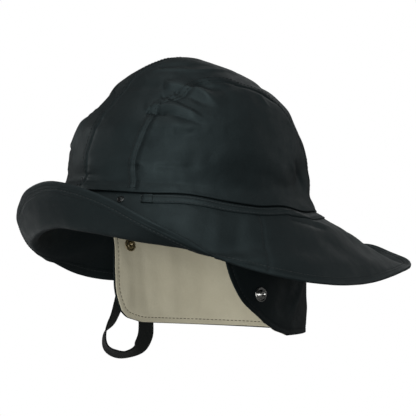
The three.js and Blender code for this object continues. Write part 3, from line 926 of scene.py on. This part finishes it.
def lining_cloth():
    """Beige brushed cotton with a plain weave and soft uneven patches."""
    material, tree, shader = new_material("lining_cloth")
    patches = speckle(tree, 0.022, 0.35, 0.65)
    base = mixed(tree, patches, (0.52, 0.485, 0.36), (0.60, 0.565, 0.43))
    fibres = speckle(tree, 0.0011, 0.3, 0.7, 4.0)
    base = mixed(tree, fibres, base, (0.55, 0.515, 0.385))
    base = mixed(tree, ranged(tree, weave(tree, 0.0009), 0, 1, 0, 0.35), base, (0.68, 0.64, 0.50))
    tree.links.new(base, shader.inputs["Base Color"])
    shader.inputs["Roughness"].default_value = 0.92
    shader.inputs["Specular IOR Level"].default_value = 0.2
    shader.inputs["Sheen Weight"].default_value = 0.12
    shader.inputs["Sheen Roughness"].default_value = 0.6
    bumped(tree, shader, [
        (grain(tree, 0.006, 2.0), 0.4, 0.0006),
        (weave(tree, 0.0009), 0.5, 0.00018),
    ])
    return material


def elastic_webbing():
    """Matt black elastic with fine ribs across it."""
    material, tree, shader = new_material("elastic")
    spots = speckle(tree, 0.002, 0.3, 0.7, 4.0)
    base = mixed(tree, spots, (0.0040, 0.0052, 0.0048), (0.0070, 0.0086, 0.0080))
    tree.links.new(base, shader.inputs["Base Color"])
    shader.inputs["Roughness"].default_value = 0.85
    shader.inputs["Specular IOR Level"].default_value = 0.18
    shader.inputs["Sheen Weight"].default_value = 0.05
    bumped(tree, shader, [(weave(tree, 0.0011), 0.8, 0.0003), (grain(tree, 0.0007, 3.0), 0.4, 0.0001)])
    return material


def thread(name, dark, light):
    """Sewing thread with a fine twist."""
    material, tree, shader = new_material(name)
    spots = speckle(tree, 0.0009, 0.3, 0.7)
    tree.links.new(mixed(tree, spots, dark, light), shader.inputs["Base Color"])
    shader.inputs["Roughness"].default_value = 0.65
    shader.inputs["Specular IOR Level"].default_value = 0.25
    bumped(tree, shader, [(grain(tree, 0.0004, 2.0), 0.5, 0.00008)])
    return material


def snap_metal(name, bright, dull, smooth, rough):
    """Pressed metal with fine scratches and patches of tarnish."""
    material, tree, shader = new_material(name)
    patches = speckle(tree, 0.0022, 0.42, 0.62, 4.0)
    tree.links.new(mixed(tree, patches, bright, dull), shader.inputs["Base Color"])
    tree.links.new(ranged(tree, patches, 0, 1, smooth, rough), shader.inputs["Roughness"])
    shader.inputs["Metallic"].default_value = 1.0
    bumped(tree, shader, [(grain(tree, 0.0004, 4.0), 0.25, 0.00003)])
    return material


CLOTH = coated_cloth("coated_cloth", 1, 0.27)
# The flap's shell: the same cloth painted half as dark and a little less glossy, as painted shade under the
# brim.
FLAP_SHADED_CLOTH = coated_cloth("flap_cloth_painted_shade", 0.5, 0.24)
LINING = lining_cloth()
ELASTIC = elastic_webbing()
BLACK_THREAD = thread("black_thread", (0.005, 0.007, 0.0075), (0.011, 0.014, 0.015))
GREY_THREAD = thread("grey_thread", (0.014, 0.018, 0.019), (0.036, 0.042, 0.043))
DARK_THREAD = thread("dark_thread", (0.045, 0.038, 0.024), (0.075, 0.064, 0.042))
NICKEL = snap_metal("nickel", (0.62, 0.62, 0.60), (0.36, 0.36, 0.34), 0.16, 0.34)
DARK_NICKEL = snap_metal("dark_nickel", (0.05, 0.052, 0.052), (0.02, 0.022, 0.022), 0.28, 0.45)
DULL_BRASS = snap_metal("dull_brass", (0.42, 0.355, 0.225), (0.22, 0.18, 0.105), 0.34, 0.5)


# Camera and studio

def camera_axes():
    angle = math.radians(CAMERA_TURN)
    toward = Vector((math.sin(angle), -math.cos(angle), 0))
    right = Vector((math.cos(angle), math.sin(angle), 0))
    return right, Vector((0, 0, 1)), toward


def make_camera():
    right, up, toward = camera_axes()
    data = bpy.data.cameras.new("camera")
    camera = bpy.data.objects.new("camera", data)
    bpy.context.scene.collection.objects.link(camera)
    middle = PHOTO_SIZE / 2
    across = (middle - ORIGIN_PIXEL[0]) / PIXELS_PER_MM * MM
    above = (ORIGIN_PIXEL[1] - middle) / PIXELS_PER_MM * MM
    camera.location = toward * CAMERA_AWAY + right * across + up * above
    camera.rotation_mode = "QUATERNION"
    camera.rotation_quaternion = (-toward).to_track_quat("-Z", "Y")
    data.sensor_width = SENSOR
    data.lens = SENSOR * CAMERA_AWAY / (PHOTO_SIZE / PIXELS_PER_MM * MM)
    data.clip_end = 60
    bpy.context.scene.camera = camera


def soft_light(name, place, size, power):
    """A square light aimed at the hat. place is (right, up, toward the camera) in metres."""
    right, up, toward = camera_axes()
    data = bpy.data.lights.new(name, "AREA")
    data.size = size
    data.energy = power
    light = bpy.data.objects.new(name, data)
    light.location = right * place[0] + up * place[1] + toward * place[2]
    light.rotation_mode = "QUATERNION"
    light.rotation_quaternion = (-light.location).to_track_quat("-Z", "Y")
    bpy.context.scene.collection.objects.link(light)


def make_studio():
    soft_light("key_light", (0.45, 1.9, 1.6), 1.9, 36)
    soft_light("front_light", (-0.2, -0.3, 2.5), 1.2, 37)
    soft_light("side_light", (-2.0, 0.5, 1.3), 1.2, 9)
    soft_light("low_light", (-1.8, -1.6, 0.2), 1.0, 6)
    soft_light("top_light", (-0.3, 2.3, -0.2), 1.4, 7)
    soft_light("left_light", (-2.0, 0.6, -0.9), 1.2, 8)
    soft_light("right_light", (2.0, 0.5, -0.8), 1.4, 4)
    soft_light("back_light", (0.8, 1.3, -2.2), 1.0, 3)
    soft_light("low_back_light", (-1.4, -0.9, -1.8), 0.8, 3.5)
    world = bpy.data.worlds.new("white_studio")
    world.use_nodes = True
    tree = world.node_tree
    tree.nodes.clear()
    output = add_node(tree, "ShaderNodeOutputWorld")
    seen = add_node(tree, "ShaderNodeBackground", {"Color": (1, 1, 1, 1), "Strength": 1.0})
    lit = add_node(tree, "ShaderNodeBackground", {"Color": (1, 1, 1, 1), "Strength": 0.1})
    choose = add_node(tree, "ShaderNodeMixShader")
    rays = add_node(tree, "ShaderNodeLightPath")
    tree.links.new(rays.outputs["Is Camera Ray"], choose.inputs[0])
    tree.links.new(lit.outputs[0], choose.inputs[1])
    tree.links.new(seen.outputs[0], choose.inputs[2])
    tree.links.new(choose.outputs[0], output.inputs[0])
    bpy.context.scene.world = world
    bpy.context.scene.view_settings.view_transform = "Standard"
    make_floor()


def make_floor():
    """A pale floor below the hat, which is seen only from above."""
    material, tree, shader = new_material("floor")
    shader.inputs["Base Color"].default_value = (0.86, 0.86, 0.86, 1)
    shader.inputs["Roughness"].default_value = 0.9
    clear = add_node(tree, "ShaderNodeBsdfTransparent")
    side = add_node(tree, "ShaderNodeNewGeometry")
    choose = add_node(tree, "ShaderNodeMixShader")
    tree.links.new(side.outputs["Backfacing"], choose.inputs[0])
    tree.links.new(shader.outputs[0], choose.inputs[1])
    tree.links.new(clear.outputs[0], choose.inputs[2])
    tree.links.new(choose.outputs[0], tree.nodes["Material Output"].inputs[0])
    mesh = bpy.data.meshes.new("floor")
    corners = 96
    angles = np.linspace(0, 2 * math.pi, corners, endpoint=False)
    edge = oval(np.degrees(angles), FLOOR_RADIUS, FLOOR_RADIUS, 0, FLOOR_HEIGHT)
    mesh.from_pydata(edge.tolist(), [], [list(range(corners))])
    mesh.materials.append(material)
    floor = bpy.data.objects.new("floor", mesh)
    floor.visible_diffuse = False
    floor.visible_glossy = False
    floor.visible_shadow = False
    bpy.context.scene.collection.objects.link(floor)


# The chin strap

def strap_frames():
    """Points along the strap's middle line, with its tangents and its side and face directions."""
    rows = [row[:3] for row in STRAP_ROUTE]
    turns, heights, outs = (np.array(column, float) for column in zip(*rows))
    shares = flap_share(turns, heights)
    corners = flap_base(turns, shares) + outs[:, None] * flap_out(turns, shares)
    f = np.linspace(0, 1, STRAP_STEPS + 1)
    path = through(corners, f)
    looks = through([row[3] for row in STRAP_ROUTE], f)
    tangents = unit(np.gradient(path, axis=0))
    sides = unit(np.cross(tangents, looks))
    return path, tangents, sides, np.cross(sides, tangents)


def make_strap():
    path, _, sides, outs = strap_frames()
    half, deep = STRAP_WIDTH / 2, STRAP_THICKNESS / 2
    section = [(-1, -0.35), (-0.97, -0.85), (-0.9, -1), (-0.5, -0.86), (0, -0.86), (0.5, -0.86), (0.9, -1),
               (0.97, -0.85), (1, -0.35), (1, 0.35), (0.97, 0.85), (0.9, 1), (0.5, 0.86), (0, 0.86),
               (-0.5, 0.86), (-0.9, 1), (-0.97, 0.85), (-1, 0.35)]
    rings = []
    for point, side, out in zip(path, sides, outs):
        rings.extend([point + a * half * side + b * deep * out for a, b in section])
    around = len(section)
    faces = tube_faces(len(path), around)
    length = lengths_along(path)[-1]
    corners = np.concatenate(faces)
    across = np.array(section)[corners % around, 0] * half
    uvs = np.stack([corners // around * length / STRAP_STEPS, across], axis=-1) * MM
    strap = mesh_piece("strap_elastic", rings, faces, ELASTIC, "elastic", "chin_strap", uvs)
    return strap, path, length


def make_strap_tacks():
    """The sewing that holds the strap's upper end to the flap: a box of stitches with a cross."""
    path, tangents, sides, outs = strap_frames()
    lengths = lengths_along(path)
    from_end = lengths[-1] - lengths
    shape, shape_faces = stitch_shape(1.9, 0.5, 0.4)
    parts = []

    def stitch(back, across, along_share, side_share):
        k = int(np.argmin(np.abs(from_end - back)))
        direction = unit(along_share * tangents[k] + side_share * sides[k])
        face_out = -outs[k]
        place = path[k] + across * sides[k] + (STRAP_THICKNESS / 2 - 0.1) * face_out
        axes = np.array([direction, np.cross(face_out, direction), face_out])
        parts.append((place + shape @ axes, shape_faces))

    box_start, box_end, box_half, pitch = 1.6, 13, 5.2, 2.4
    for back in np.arange(2.5, box_end, pitch):
        stitch(back, -box_half, 1, 0)
        stitch(back, box_half, 1, 0)
        cross = (back - 7) / box_half * 5
        stitch(back, cross, 1, -0.95)
        stitch(back, -cross, 1, 0.95)
    for across in np.arange(-4, 4.5, pitch):
        stitch(box_start, across, 0, 1)
        stitch(box_end, across, 0, 1)
    mesh_piece("strap_tacks", *joined(parts), BLACK_THREAD, "elastic")


# Crown

def crown_turns():
    """Turns for the crown's grid, closer together at the folds on the wearer's left."""
    turns = np.linspace(0, 360, 721)
    share = np.cumsum(1 + bell(turns - FOLDS_TURN, FOLDS_SPREAD))
    share = (share - share[0]) / (share[-1] - share[0])
    return np.interp(np.linspace(0, 1, CROWN_AROUND, endpoint=False), share, turns)


def crown_grid(inside):
    """The crown's cloth at a distance inside its outer face: its points, folds, plain points and the
    directions out of them."""
    turn, rise = np.meshgrid(crown_turns(), np.linspace(0, 1, CROWN_UP))
    points = crown_base(turn, rise)
    normals = base_normals(crown_base, turn, rise, 0.4, 0.004)
    lift, folds = crown_lift(points)
    settle = smooth_step(rise / 0.05)
    lift = lift * (0.15 + 0.85 * settle)
    return points + (lift - inside)[..., None] * normals, folds, points, normals


def crown_uvs(points, faces):
    """Flat places for the crown's cloth: a side panel lies flat from the side, the strip from above."""
    corners = points[faces]
    side = on_side_panel(corners.mean(axis=1))
    x, y, z = np.moveaxis(corners, -1, 0)
    from_side = np.stack([y, z], axis=-1)
    from_top = np.stack([x, y - z * np.sign(y)], axis=-1)
    return np.where(side[:, None, None], from_side, from_top) * MM


def make_crown():
    face, folds, plain, normals = crown_grid(0)
    back = crown_grid(CROWN_CLOTH)[0]
    points, faces, source = cloth_wall(face, back, True)
    # The fold ridges are painted lighter: scuffs and painted highlight.
    wear_and_highlight = np.clip(folds.ravel()[source] / 3, 0, 1) * 0.8
    mesh_piece("crown_cloth", points, faces, CLOTH, "coated_cloth", "crown", crown_uvs(points, faces), wear_and_highlight)
    return Face(face, plain, normals, True)


# A felled seam's section: distance to the left of its line, and height. Two rows of stitches dent it.
WELT = [(-0.5, -0.9), (-0.3, -0.2), (-0.05, 0.25), (0.5, 0.45), (1.1, 0.4), (1.7, 0.24), (2.3, 0.4),
        (3.5, 0.44), (4.4, 0.36), (5, 0.2), (5.6, 0.26), (6.2, 0.1), (6.7, -0.3), (6.6, -0.9)]
WELT_STITCHES = (1.7, 5.0)


def mirrored_profile(profile):
    return [(-distance, height) for distance, height in reversed(profile)]


def make_strips(name, strips, profile):
    """Several ribbons of one section as one piece of coated cloth."""
    points, faces = joined(strips)
    mesh_piece(name, points, faces, CLOTH, "coated_cloth", uvs=strip_uvs(len(profile), faces))


def make_crown_seams(face):
    """Felled seams: a welt beside each seam line, with two rows of stitches."""
    welts, rows = [], []
    for k, line in enumerate(CROWN_SEAMS):
        path = even_path(line, STRIP_STEP)[2:-2]
        flip = -1 if k == 1 else 1
        profile = WELT if flip > 0 else mirrored_profile(WELT)
        plain = 0.12 + 0.88 * smooth_step((83 - path[:, 2]) / 7)
        levels = plain if k < 2 else np.full(len(path), 0.45)
        welts.append(ribbon(path, face, profile, levels=levels))
        for away in WELT_STITCHES:
            rows.append(stitch_row(path, face, away * flip, 0.26))
    make_strips("crown_seams", welts, WELT)
    mesh_piece("crown_stitches", *joined(rows), BLACK_THREAD, "coated_cloth")


# Brim

# The brim's sewn edge, which turns up inside the crown: distance inside the crown's edge, and height.
SEWN_EDGE = [(8.6, 9.0), (7.4, 7.0), (6.2, 4.8), (5.2, 2.8), (4.3, 1.0), (3.5, -0.4), (2.6, -1.2)]
# The rows of the brim's grid along its hem, as distances from its edge.
HEM_PLACES = np.array([
    10.5, 9.0, 8.4, 7.9, 7.2, 6.4, 5.9, 5.5, 5.1, 4.5, 3.7, 3.2, 2.8, 2.4, 1.8, 1.1, 0.5, 0.0,
])
# The section of the brim's side seams, pressed flat.
FLAT_WELT = [(-0.3, -0.8), (0.2, -0.2), (1.2, 0.05), (2, 0.08), (3, 0.05), (4.2, 0), (6, -0.1), (6, -0.8)]


def brim_places():
    """Turns and shares across for the brim's grid. Its last rows keep their distance to the edge."""
    turns = np.linspace(360, 0, BRIM_AROUND, endpoint=False)
    hem = np.maximum(brim_across(turns, -np.maximum(HEM_PLACES, 1e-6)), 0)
    plain = np.linspace(0, 1, BRIM_ACROSS, endpoint=False)[:, None] * hem[:, 0][None, :]
    shares = np.vstack([plain, hem.T])
    return np.broadcast_to(turns, shares.shape), shares


def brim_seam(mirrored):
    """A side seam of the brim, from the head seam to the edge."""
    across = np.linspace(0.13, 0.97, 60)
    turn = BRIM_SEAM_TURN - BRIM_SEAM_LEAN * across
    return brim_base(360 - turn if mirrored else turn, across)


def brim_lift(points, share):
    """How far the brim's cloth stands out from its plain shape, and how far its folds raise it."""
    folds = fold_heights(points, BRIM_FOLDS, brim_line)
    made = folds + crumple(points, BRIM_SWELLS)
    for mirrored in (False, True):
        distance, _, _ = to_line(points, brim_seam(mirrored))
        made = made - BRIM_SEAM_DENT * bell(distance, 1.3)
    return made * smooth_step(share / 0.08), folds


def make_brim():
    """The brim with its hem and its sewn edge. Returns its upper and lower face."""
    turn, share = brim_places()
    points = brim_base(turn, share)
    normals = -base_normals(brim_base, turn, share, 0.4, 0.01)
    normals = np.where(normals[:1, :, 2:] < 0, -normals, normals)
    lift, folds = brim_lift(points, share)
    from_edge = np.concatenate([np.full(BRIM_ACROSS, 99.0), HEM_PLACES])[:, None]
    stitched = 0.16 * bell(from_edge - HEM_STITCH, 0.7) + 0.14 * bell(from_edge - 2.8, 0.5)
    face = points + (lift - stitched)[..., None] * normals
    hem = HEM_CLOTH * smooth_step((HEM_WIDTH + 0.3 - from_edge) / 0.7)
    thickness = BRIM_CLOTH + hem - 0.9 * stitched
    back = points + (lift - thickness)[..., None] * normals
    turns = turn[0]
    sewn_face = np.stack([head_oval(turns, inset, above) for inset, above in SEWN_EDGE])
    sewn_back = np.stack([head_oval(turns, inset + 1.3, above - 0.9) for inset, above in SEWN_EDGE])
    sewn_back[-1] = head_oval(turns, 2.9, -2.75)
    face = np.concatenate([sewn_face, face])
    back = np.concatenate([sewn_back, back])
    # The folds and the last rows at the brim's edge are painted lighter: scuffs, and a painted highlight
    # along the hem.
    wear_and_highlight = np.concatenate([np.zeros((len(SEWN_EDGE), len(turns))), np.clip(folds / 2, 0, 1)])
    wear_and_highlight[-4:] = 0.5
    made, faces, source = cloth_wall(face, back, True)
    lengths = lengths_along(face)
    around = np.broadcast_to(np.radians(turns) * BRIM_RADIUS, lengths.shape)
    uvs = np.stack([around, lengths], axis=-1).reshape(-1, 2)[source][faces] * MM
    mesh_piece("brim_cloth", made, faces, CLOTH, "coated_cloth", "brim", uvs, wear_and_highlight.ravel()[source] * 0.5)
    start = len(SEWN_EDGE)
    upper = Face(face[start:], points, normals, True)
    lower = Face(back[start:], points, -normals, True)
    return upper, lower


def make_brim_sewing(upper, lower):
    """The hem's stitches on both sides of the brim, and its side seams."""
    turns = np.linspace(360, 0, 400, endpoint=False)
    shares = brim_across(turns, -HEM_STITCH)[:, 0]
    path = brim_base(turns, shares)
    rows = [stitch_row(path, side, 0, 0.12, closed=True) for side in (upper, lower)]
    welts, seam_rows = [], []
    for mirrored in (False, True):
        profile = FLAT_WELT if mirrored else mirrored_profile(FLAT_WELT)
        even = even_path(brim_seam(mirrored), STRIP_STEP)
        welts.append(ribbon(even, upper, profile, ends=2))
        seam_rows.append(stitch_row(even, upper, 1.8 if mirrored else -1.8, 0.05))
    mesh_piece("brim_stitches", *joined(rows), GREY_THREAD, "coated_cloth")
    mesh_piece("brim_seam_stitches", *joined(seam_rows), BLACK_THREAD, "coated_cloth")
    make_strips("brim_side_seams", welts, FLAT_WELT)


def make_band(upper):
    """The narrow strip sewn over the head seam's allowance, with two rows of stitches and a turned end."""
    turns = np.linspace(BAND_START, BAND_END, 500)
    middle = BAND_TOP + BAND_WIDTH / 2
    path = even_path(brim_base(turns, brim_across(turns, middle)[:, 0]), STRIP_STEP)
    half = BAND_WIDTH / 2
    top = BAND_CLOTH + 0.1
    stitch_in = 1.4
    one_side = [(-half, -0.4), (-half - 0.1, 0.3), (-half + 0.25, top), (-half + 0.9, top),
                (-half + stitch_in, top - 0.28), (-half + 1.9, top)]
    section = one_side + [(0, top + 0.15)] + mirrored_profile(one_side)
    points, faces = ribbon(path, upper, section, ends=1)
    uvs = strip_uvs(len(section), faces)
    mesh_piece("band_cloth", points, faces, CLOTH, "coated_cloth", "crown_band", uvs)
    rows = [stitch_row(path, upper, side * (half - stitch_in), top - 0.1, 2.2, 0.8) for side in (-1, 1)]
    tab = [(d * 1.06, h + 0.55 if h > 0 else h) for d, h in section]
    ends = [ribbon(path[:7], upper, tab, ends=1), ribbon(path[-7:], upper, tab, ends=1)]
    for start in (path[1:7], path[-7:-1]):
        rows.append(cross_row(start, upper, top + 0.5))
    make_strips("band_ends", ends, tab)
    mesh_piece("band_stitches", *joined(rows), GREY_THREAD, "coated_cloth")


def cross_row(path, face, above):
    """A few stitches across a strip, at the middle of a short path."""
    _, _, sides = path_frames(path, face)
    k = len(path) // 2
    line = [path[k] + a * sides[k] for a in np.linspace(-3, 3, 4)]
    return stitch_row(np.array(line), face, 0, above, 1.4, 0.6)


# Flap

# The rows of the flap's grid above its sewn top, as heights.
FLAP_ABOVE = [8.0, 5.5, 3.0, 1.0]


def flap_boundary(grid):
    """The flap's free border, down its right front edge, along its hem and up its left front edge."""
    start = len(FLAP_ABOVE)
    return np.vstack([grid[start:, 0], grid[-1, 1:-1], grid[start:, -1][::-1]])


def flap_places():
    """Turns and shares for the flap's grid, with a few rows above its sewn top."""
    along = np.linspace(0, 1, FLAP_ALONG)
    even = np.linspace(0, 1, FLAP_DOWN)
    below = 0.55 * even + 0.45 * np.sin(even * math.pi / 2)
    rows = flap_columns(below)
    right, left = 360 - rows[:, 4], rows[:, 3]
    turn = right[:, None] + (left - right)[:, None] * along[None, :]
    share = np.broadcast_to(below[:, None], turn.shape)
    top_turn = turn[0]
    depth = seam_height(top_turn) - FLAP_DROP - flap_hem(top_turn)
    above = np.stack([-height / depth for height in FLAP_ABOVE])
    return np.vstack([np.tile(top_turn, (len(FLAP_ABOVE), 1)), turn]), np.vstack([above, share])


def flap_grids():
    """Two grids each for the shell and the lining, the flap's folds, and its plain points and the
    directions out of them."""
    turn, share = flap_places()
    points = flap_base(turn, share)
    normals = flap_out(turn, share)
    border = flap_boundary(points)
    distance, _, _ = to_line(points, even_path(border, 2.5))
    lift = fold_heights(points, FLAP_FOLDS, flap_line) + crumple(points, FLAP_SWELLS)
    for snap_turn, snap_height in (LEFT_SNAP, RIGHT_SNAP):
        away = np.linalg.norm(points - flap_line(np.array([[snap_turn, snap_height]])), axis=-1)
        lift = lift * (1 - bell(away, SNAP_REACH))
    lift = lift * smooth_step(share / 0.15)
    groove = 0.3 * bell(distance - FLAP_STITCH, 1.1)

    def moved(out):
        return points + (lift + out)[..., None] * normals

    shell = (moved(-groove), moved(-FLAP_CLOTH))
    lining_face = -FLAP_CLOTH - GAP
    lining = (moved(lining_face), moved(lining_face - LINING_CLOTH + groove))
    return shell, lining, lift, points, normals


def flap_uvs(face, faces, source):
    flat = np.stack([lengths_along(face, 1), lengths_along(face)], axis=-1).reshape(-1, 2)
    return flat[source][faces] * MM


def make_flap():
    shell, lining, lift, plain, normals = flap_grids()
    points, faces, source = cloth_wall(shell[0], shell[1], False)
    # The flap's folds are painted lighter: scuffs and painted highlight.
    wear_and_highlight = 0.5 * np.clip(lift.ravel()[source] / 3, 0, 1)
    uvs = flap_uvs(shell[0], faces, source)
    # The shell takes the darker copy of the cloth: painted shade from the brim.
    outer = mesh_piece("flap_cloth", points, faces, FLAP_SHADED_CLOTH, "coated_cloth", "flap_shell", uvs, wear_and_highlight)
    inset = trimmed(lining, LINING_INSET)
    points, faces, source = cloth_wall(inset[0], inset[1], False)
    uvs = flap_uvs(inset[0], faces, source)
    inner = mesh_piece("lining_cotton", points, faces, LINING, "lining_cloth", "flap_lining", uvs)
    outward = Face(shell[0], plain, normals, False)
    inward = Face(inset[1], plain, -normals, False)
    make_flap_sewing(shell[0], outward, inward)
    return outer, inner, outward, inward


def trimmed(grids, amount):
    """The same two grids drawn in a little from their free borders, so that the shell shows past them."""
    made = []
    for grid in grids:
        grid = grid.copy()
        for edge, neighbour in ((grid[:, 0], grid[:, 1]), (grid[:, -1], grid[:, -2]), (grid[-1], grid[-2])):
            edge += unit(neighbour - edge) * amount
        made.append(grid)
    return made


def make_flap_sewing(grid, outward, inward):
    border = even_path(flap_boundary(grid), 1.5)
    _, _, sides = path_frames(border, outward)
    middle = np.array((0, HEAD_CENTRE, -40))
    inner_way = 1 if np.einsum("ij,ij->i", sides, middle - border).sum() > 0 else -1
    path = border + sides * FLAP_STITCH * inner_way
    path = even_path(smooth_path(path, 6), 1.5)
    row = stitch_row(path, inward, 0, 0.1, 2.3, 1.0, 0.55)
    mesh_piece("lining_stitches", *row, DARK_THREAD, "lining_cloth")
    row = stitch_row(path, outward, 0, 0.1, 2.3, 1.0, 0.5)
    mesh_piece("flap_stitches", *row, BLACK_THREAD, "coated_cloth")


def smooth_path(path, turns):
    for _ in range(turns):
        inner = (path[:-2] + 2 * path[1:-1] + path[2:]) / 4
        path = np.vstack([path[:1], inner, path[-1:]])
    return path


# Metal

# Outlines of the metal parts: radius and height, from the middle of the foot to the middle of the top.
STUD = [(0, 0), (5.4, 0), (6, 0.25), (6.05, 0.75), (5.6, 1.15), (5.0, 1.05), (4.6, 0.7), (3.7, 0.65),
        (3.4, 0.9), (3.3, 1.5), (2.75, 2.1), (2.6, 2.5), (2.95, 2.85), (3.05, 3.25), (2.7, 3.5), (2.1, 3.55),
        (1.7, 3.3), (1.5, 2.7), (0.8, 2.5), (0, 2.5)]
LOW_STUD = [(0, 0), (5.1, 0), (5.5, 0.4), (5.3, 0.95), (3.4, 1.1), (3, 1.3), (2.9, 1.8), (2.4, 2), (0, 2)]
BACK = [(0, 0), (5, 0), (5.35, 0.3), (5.2, 0.8), (4.6, 1.05), (4.1, 0.85), (3.6, 0.75), (2.9, 0.95),
        (2.4, 1.3), (1.8, 1.35), (1.4, 1.0), (1.2, 0.6), (0.6, 0.5), (0, 0.5)]
CAP = [(0, 0), (5.6, 0), (6, 0.35), (5.85, 0.9), (5.2, 1.25), (4.4, 1.55), (3.2, 1.85), (1.6, 2.05),
       (0, 2.1)]
DOME = [(0, 0), (2.6, 0), (2.95, 0.2), (2.9, 0.55), (2.4, 0.75), (2.1, 1.05), (1.6, 1.4), (0.8, 1.62),
        (0, 1.7)]


def make_metal(name, outline, slot_name, material, point, axis):
    points, faces = turned_shape(rounded_outline(outline, 0.25, 2), point + METAL_RISE * axis, axis)
    return mesh_piece(name + "_metal", points, faces, material, slot_name, name)


def snap_place(face, snap, way):
    """A snap's point on a face of the flap, and the way out of it."""
    turn, height = (np.array([float(number)]) for number in snap)
    share = flap_share(turn, height)
    out = flap_out(turn, share)[0] * way
    return face.below(flap_base(turn, share)[0], out), out


def make_snaps(outward, inward):
    cap = None
    for side, snap, outline in (("left", LEFT_SNAP, STUD), ("right", RIGHT_SNAP, LOW_STUD)):
        point, out = snap_place(outward, snap, 1)
        make_metal(side + "_snap_stud", outline, "nickel", NICKEL, point, out)
        if side == "right":
            cap_point = point + (STRAP_OUT + STRAP_THICKNESS / 2) * out
            cap = make_metal("strap_snap_cap", CAP, "dull_brass", DULL_BRASS, cap_point, out)
        point, out = snap_place(inward, snap, -1)
        make_metal(side + "_snap_back", BACK, "dull_brass", DULL_BRASS, point, out)
    return cap


def make_eyelet(upper):
    turn = np.array([float(EYELET[0])])
    centre = brim_base(turn, brim_across(turn, EYELET[1])[:, 0])[0]
    out = upper.out(centre)
    make_metal("brim_eyelet", DOME, "nickel", DARK_NICKEL, upper.below(centre, out), out)


# The hat


def main():
    make_camera()
    strap, strap_line, strap_length = make_strap()
    make_strap_tacks()
    crown_face = make_crown()
    make_crown_seams(crown_face)
    upper, lower = make_brim()
    make_brim_sewing(upper, lower)
    make_band(upper)
    shell, lining, outward, inward = make_flap()
    cap = make_snaps(outward, inward)
    make_eyelet(upper)
    make_studio()


main()
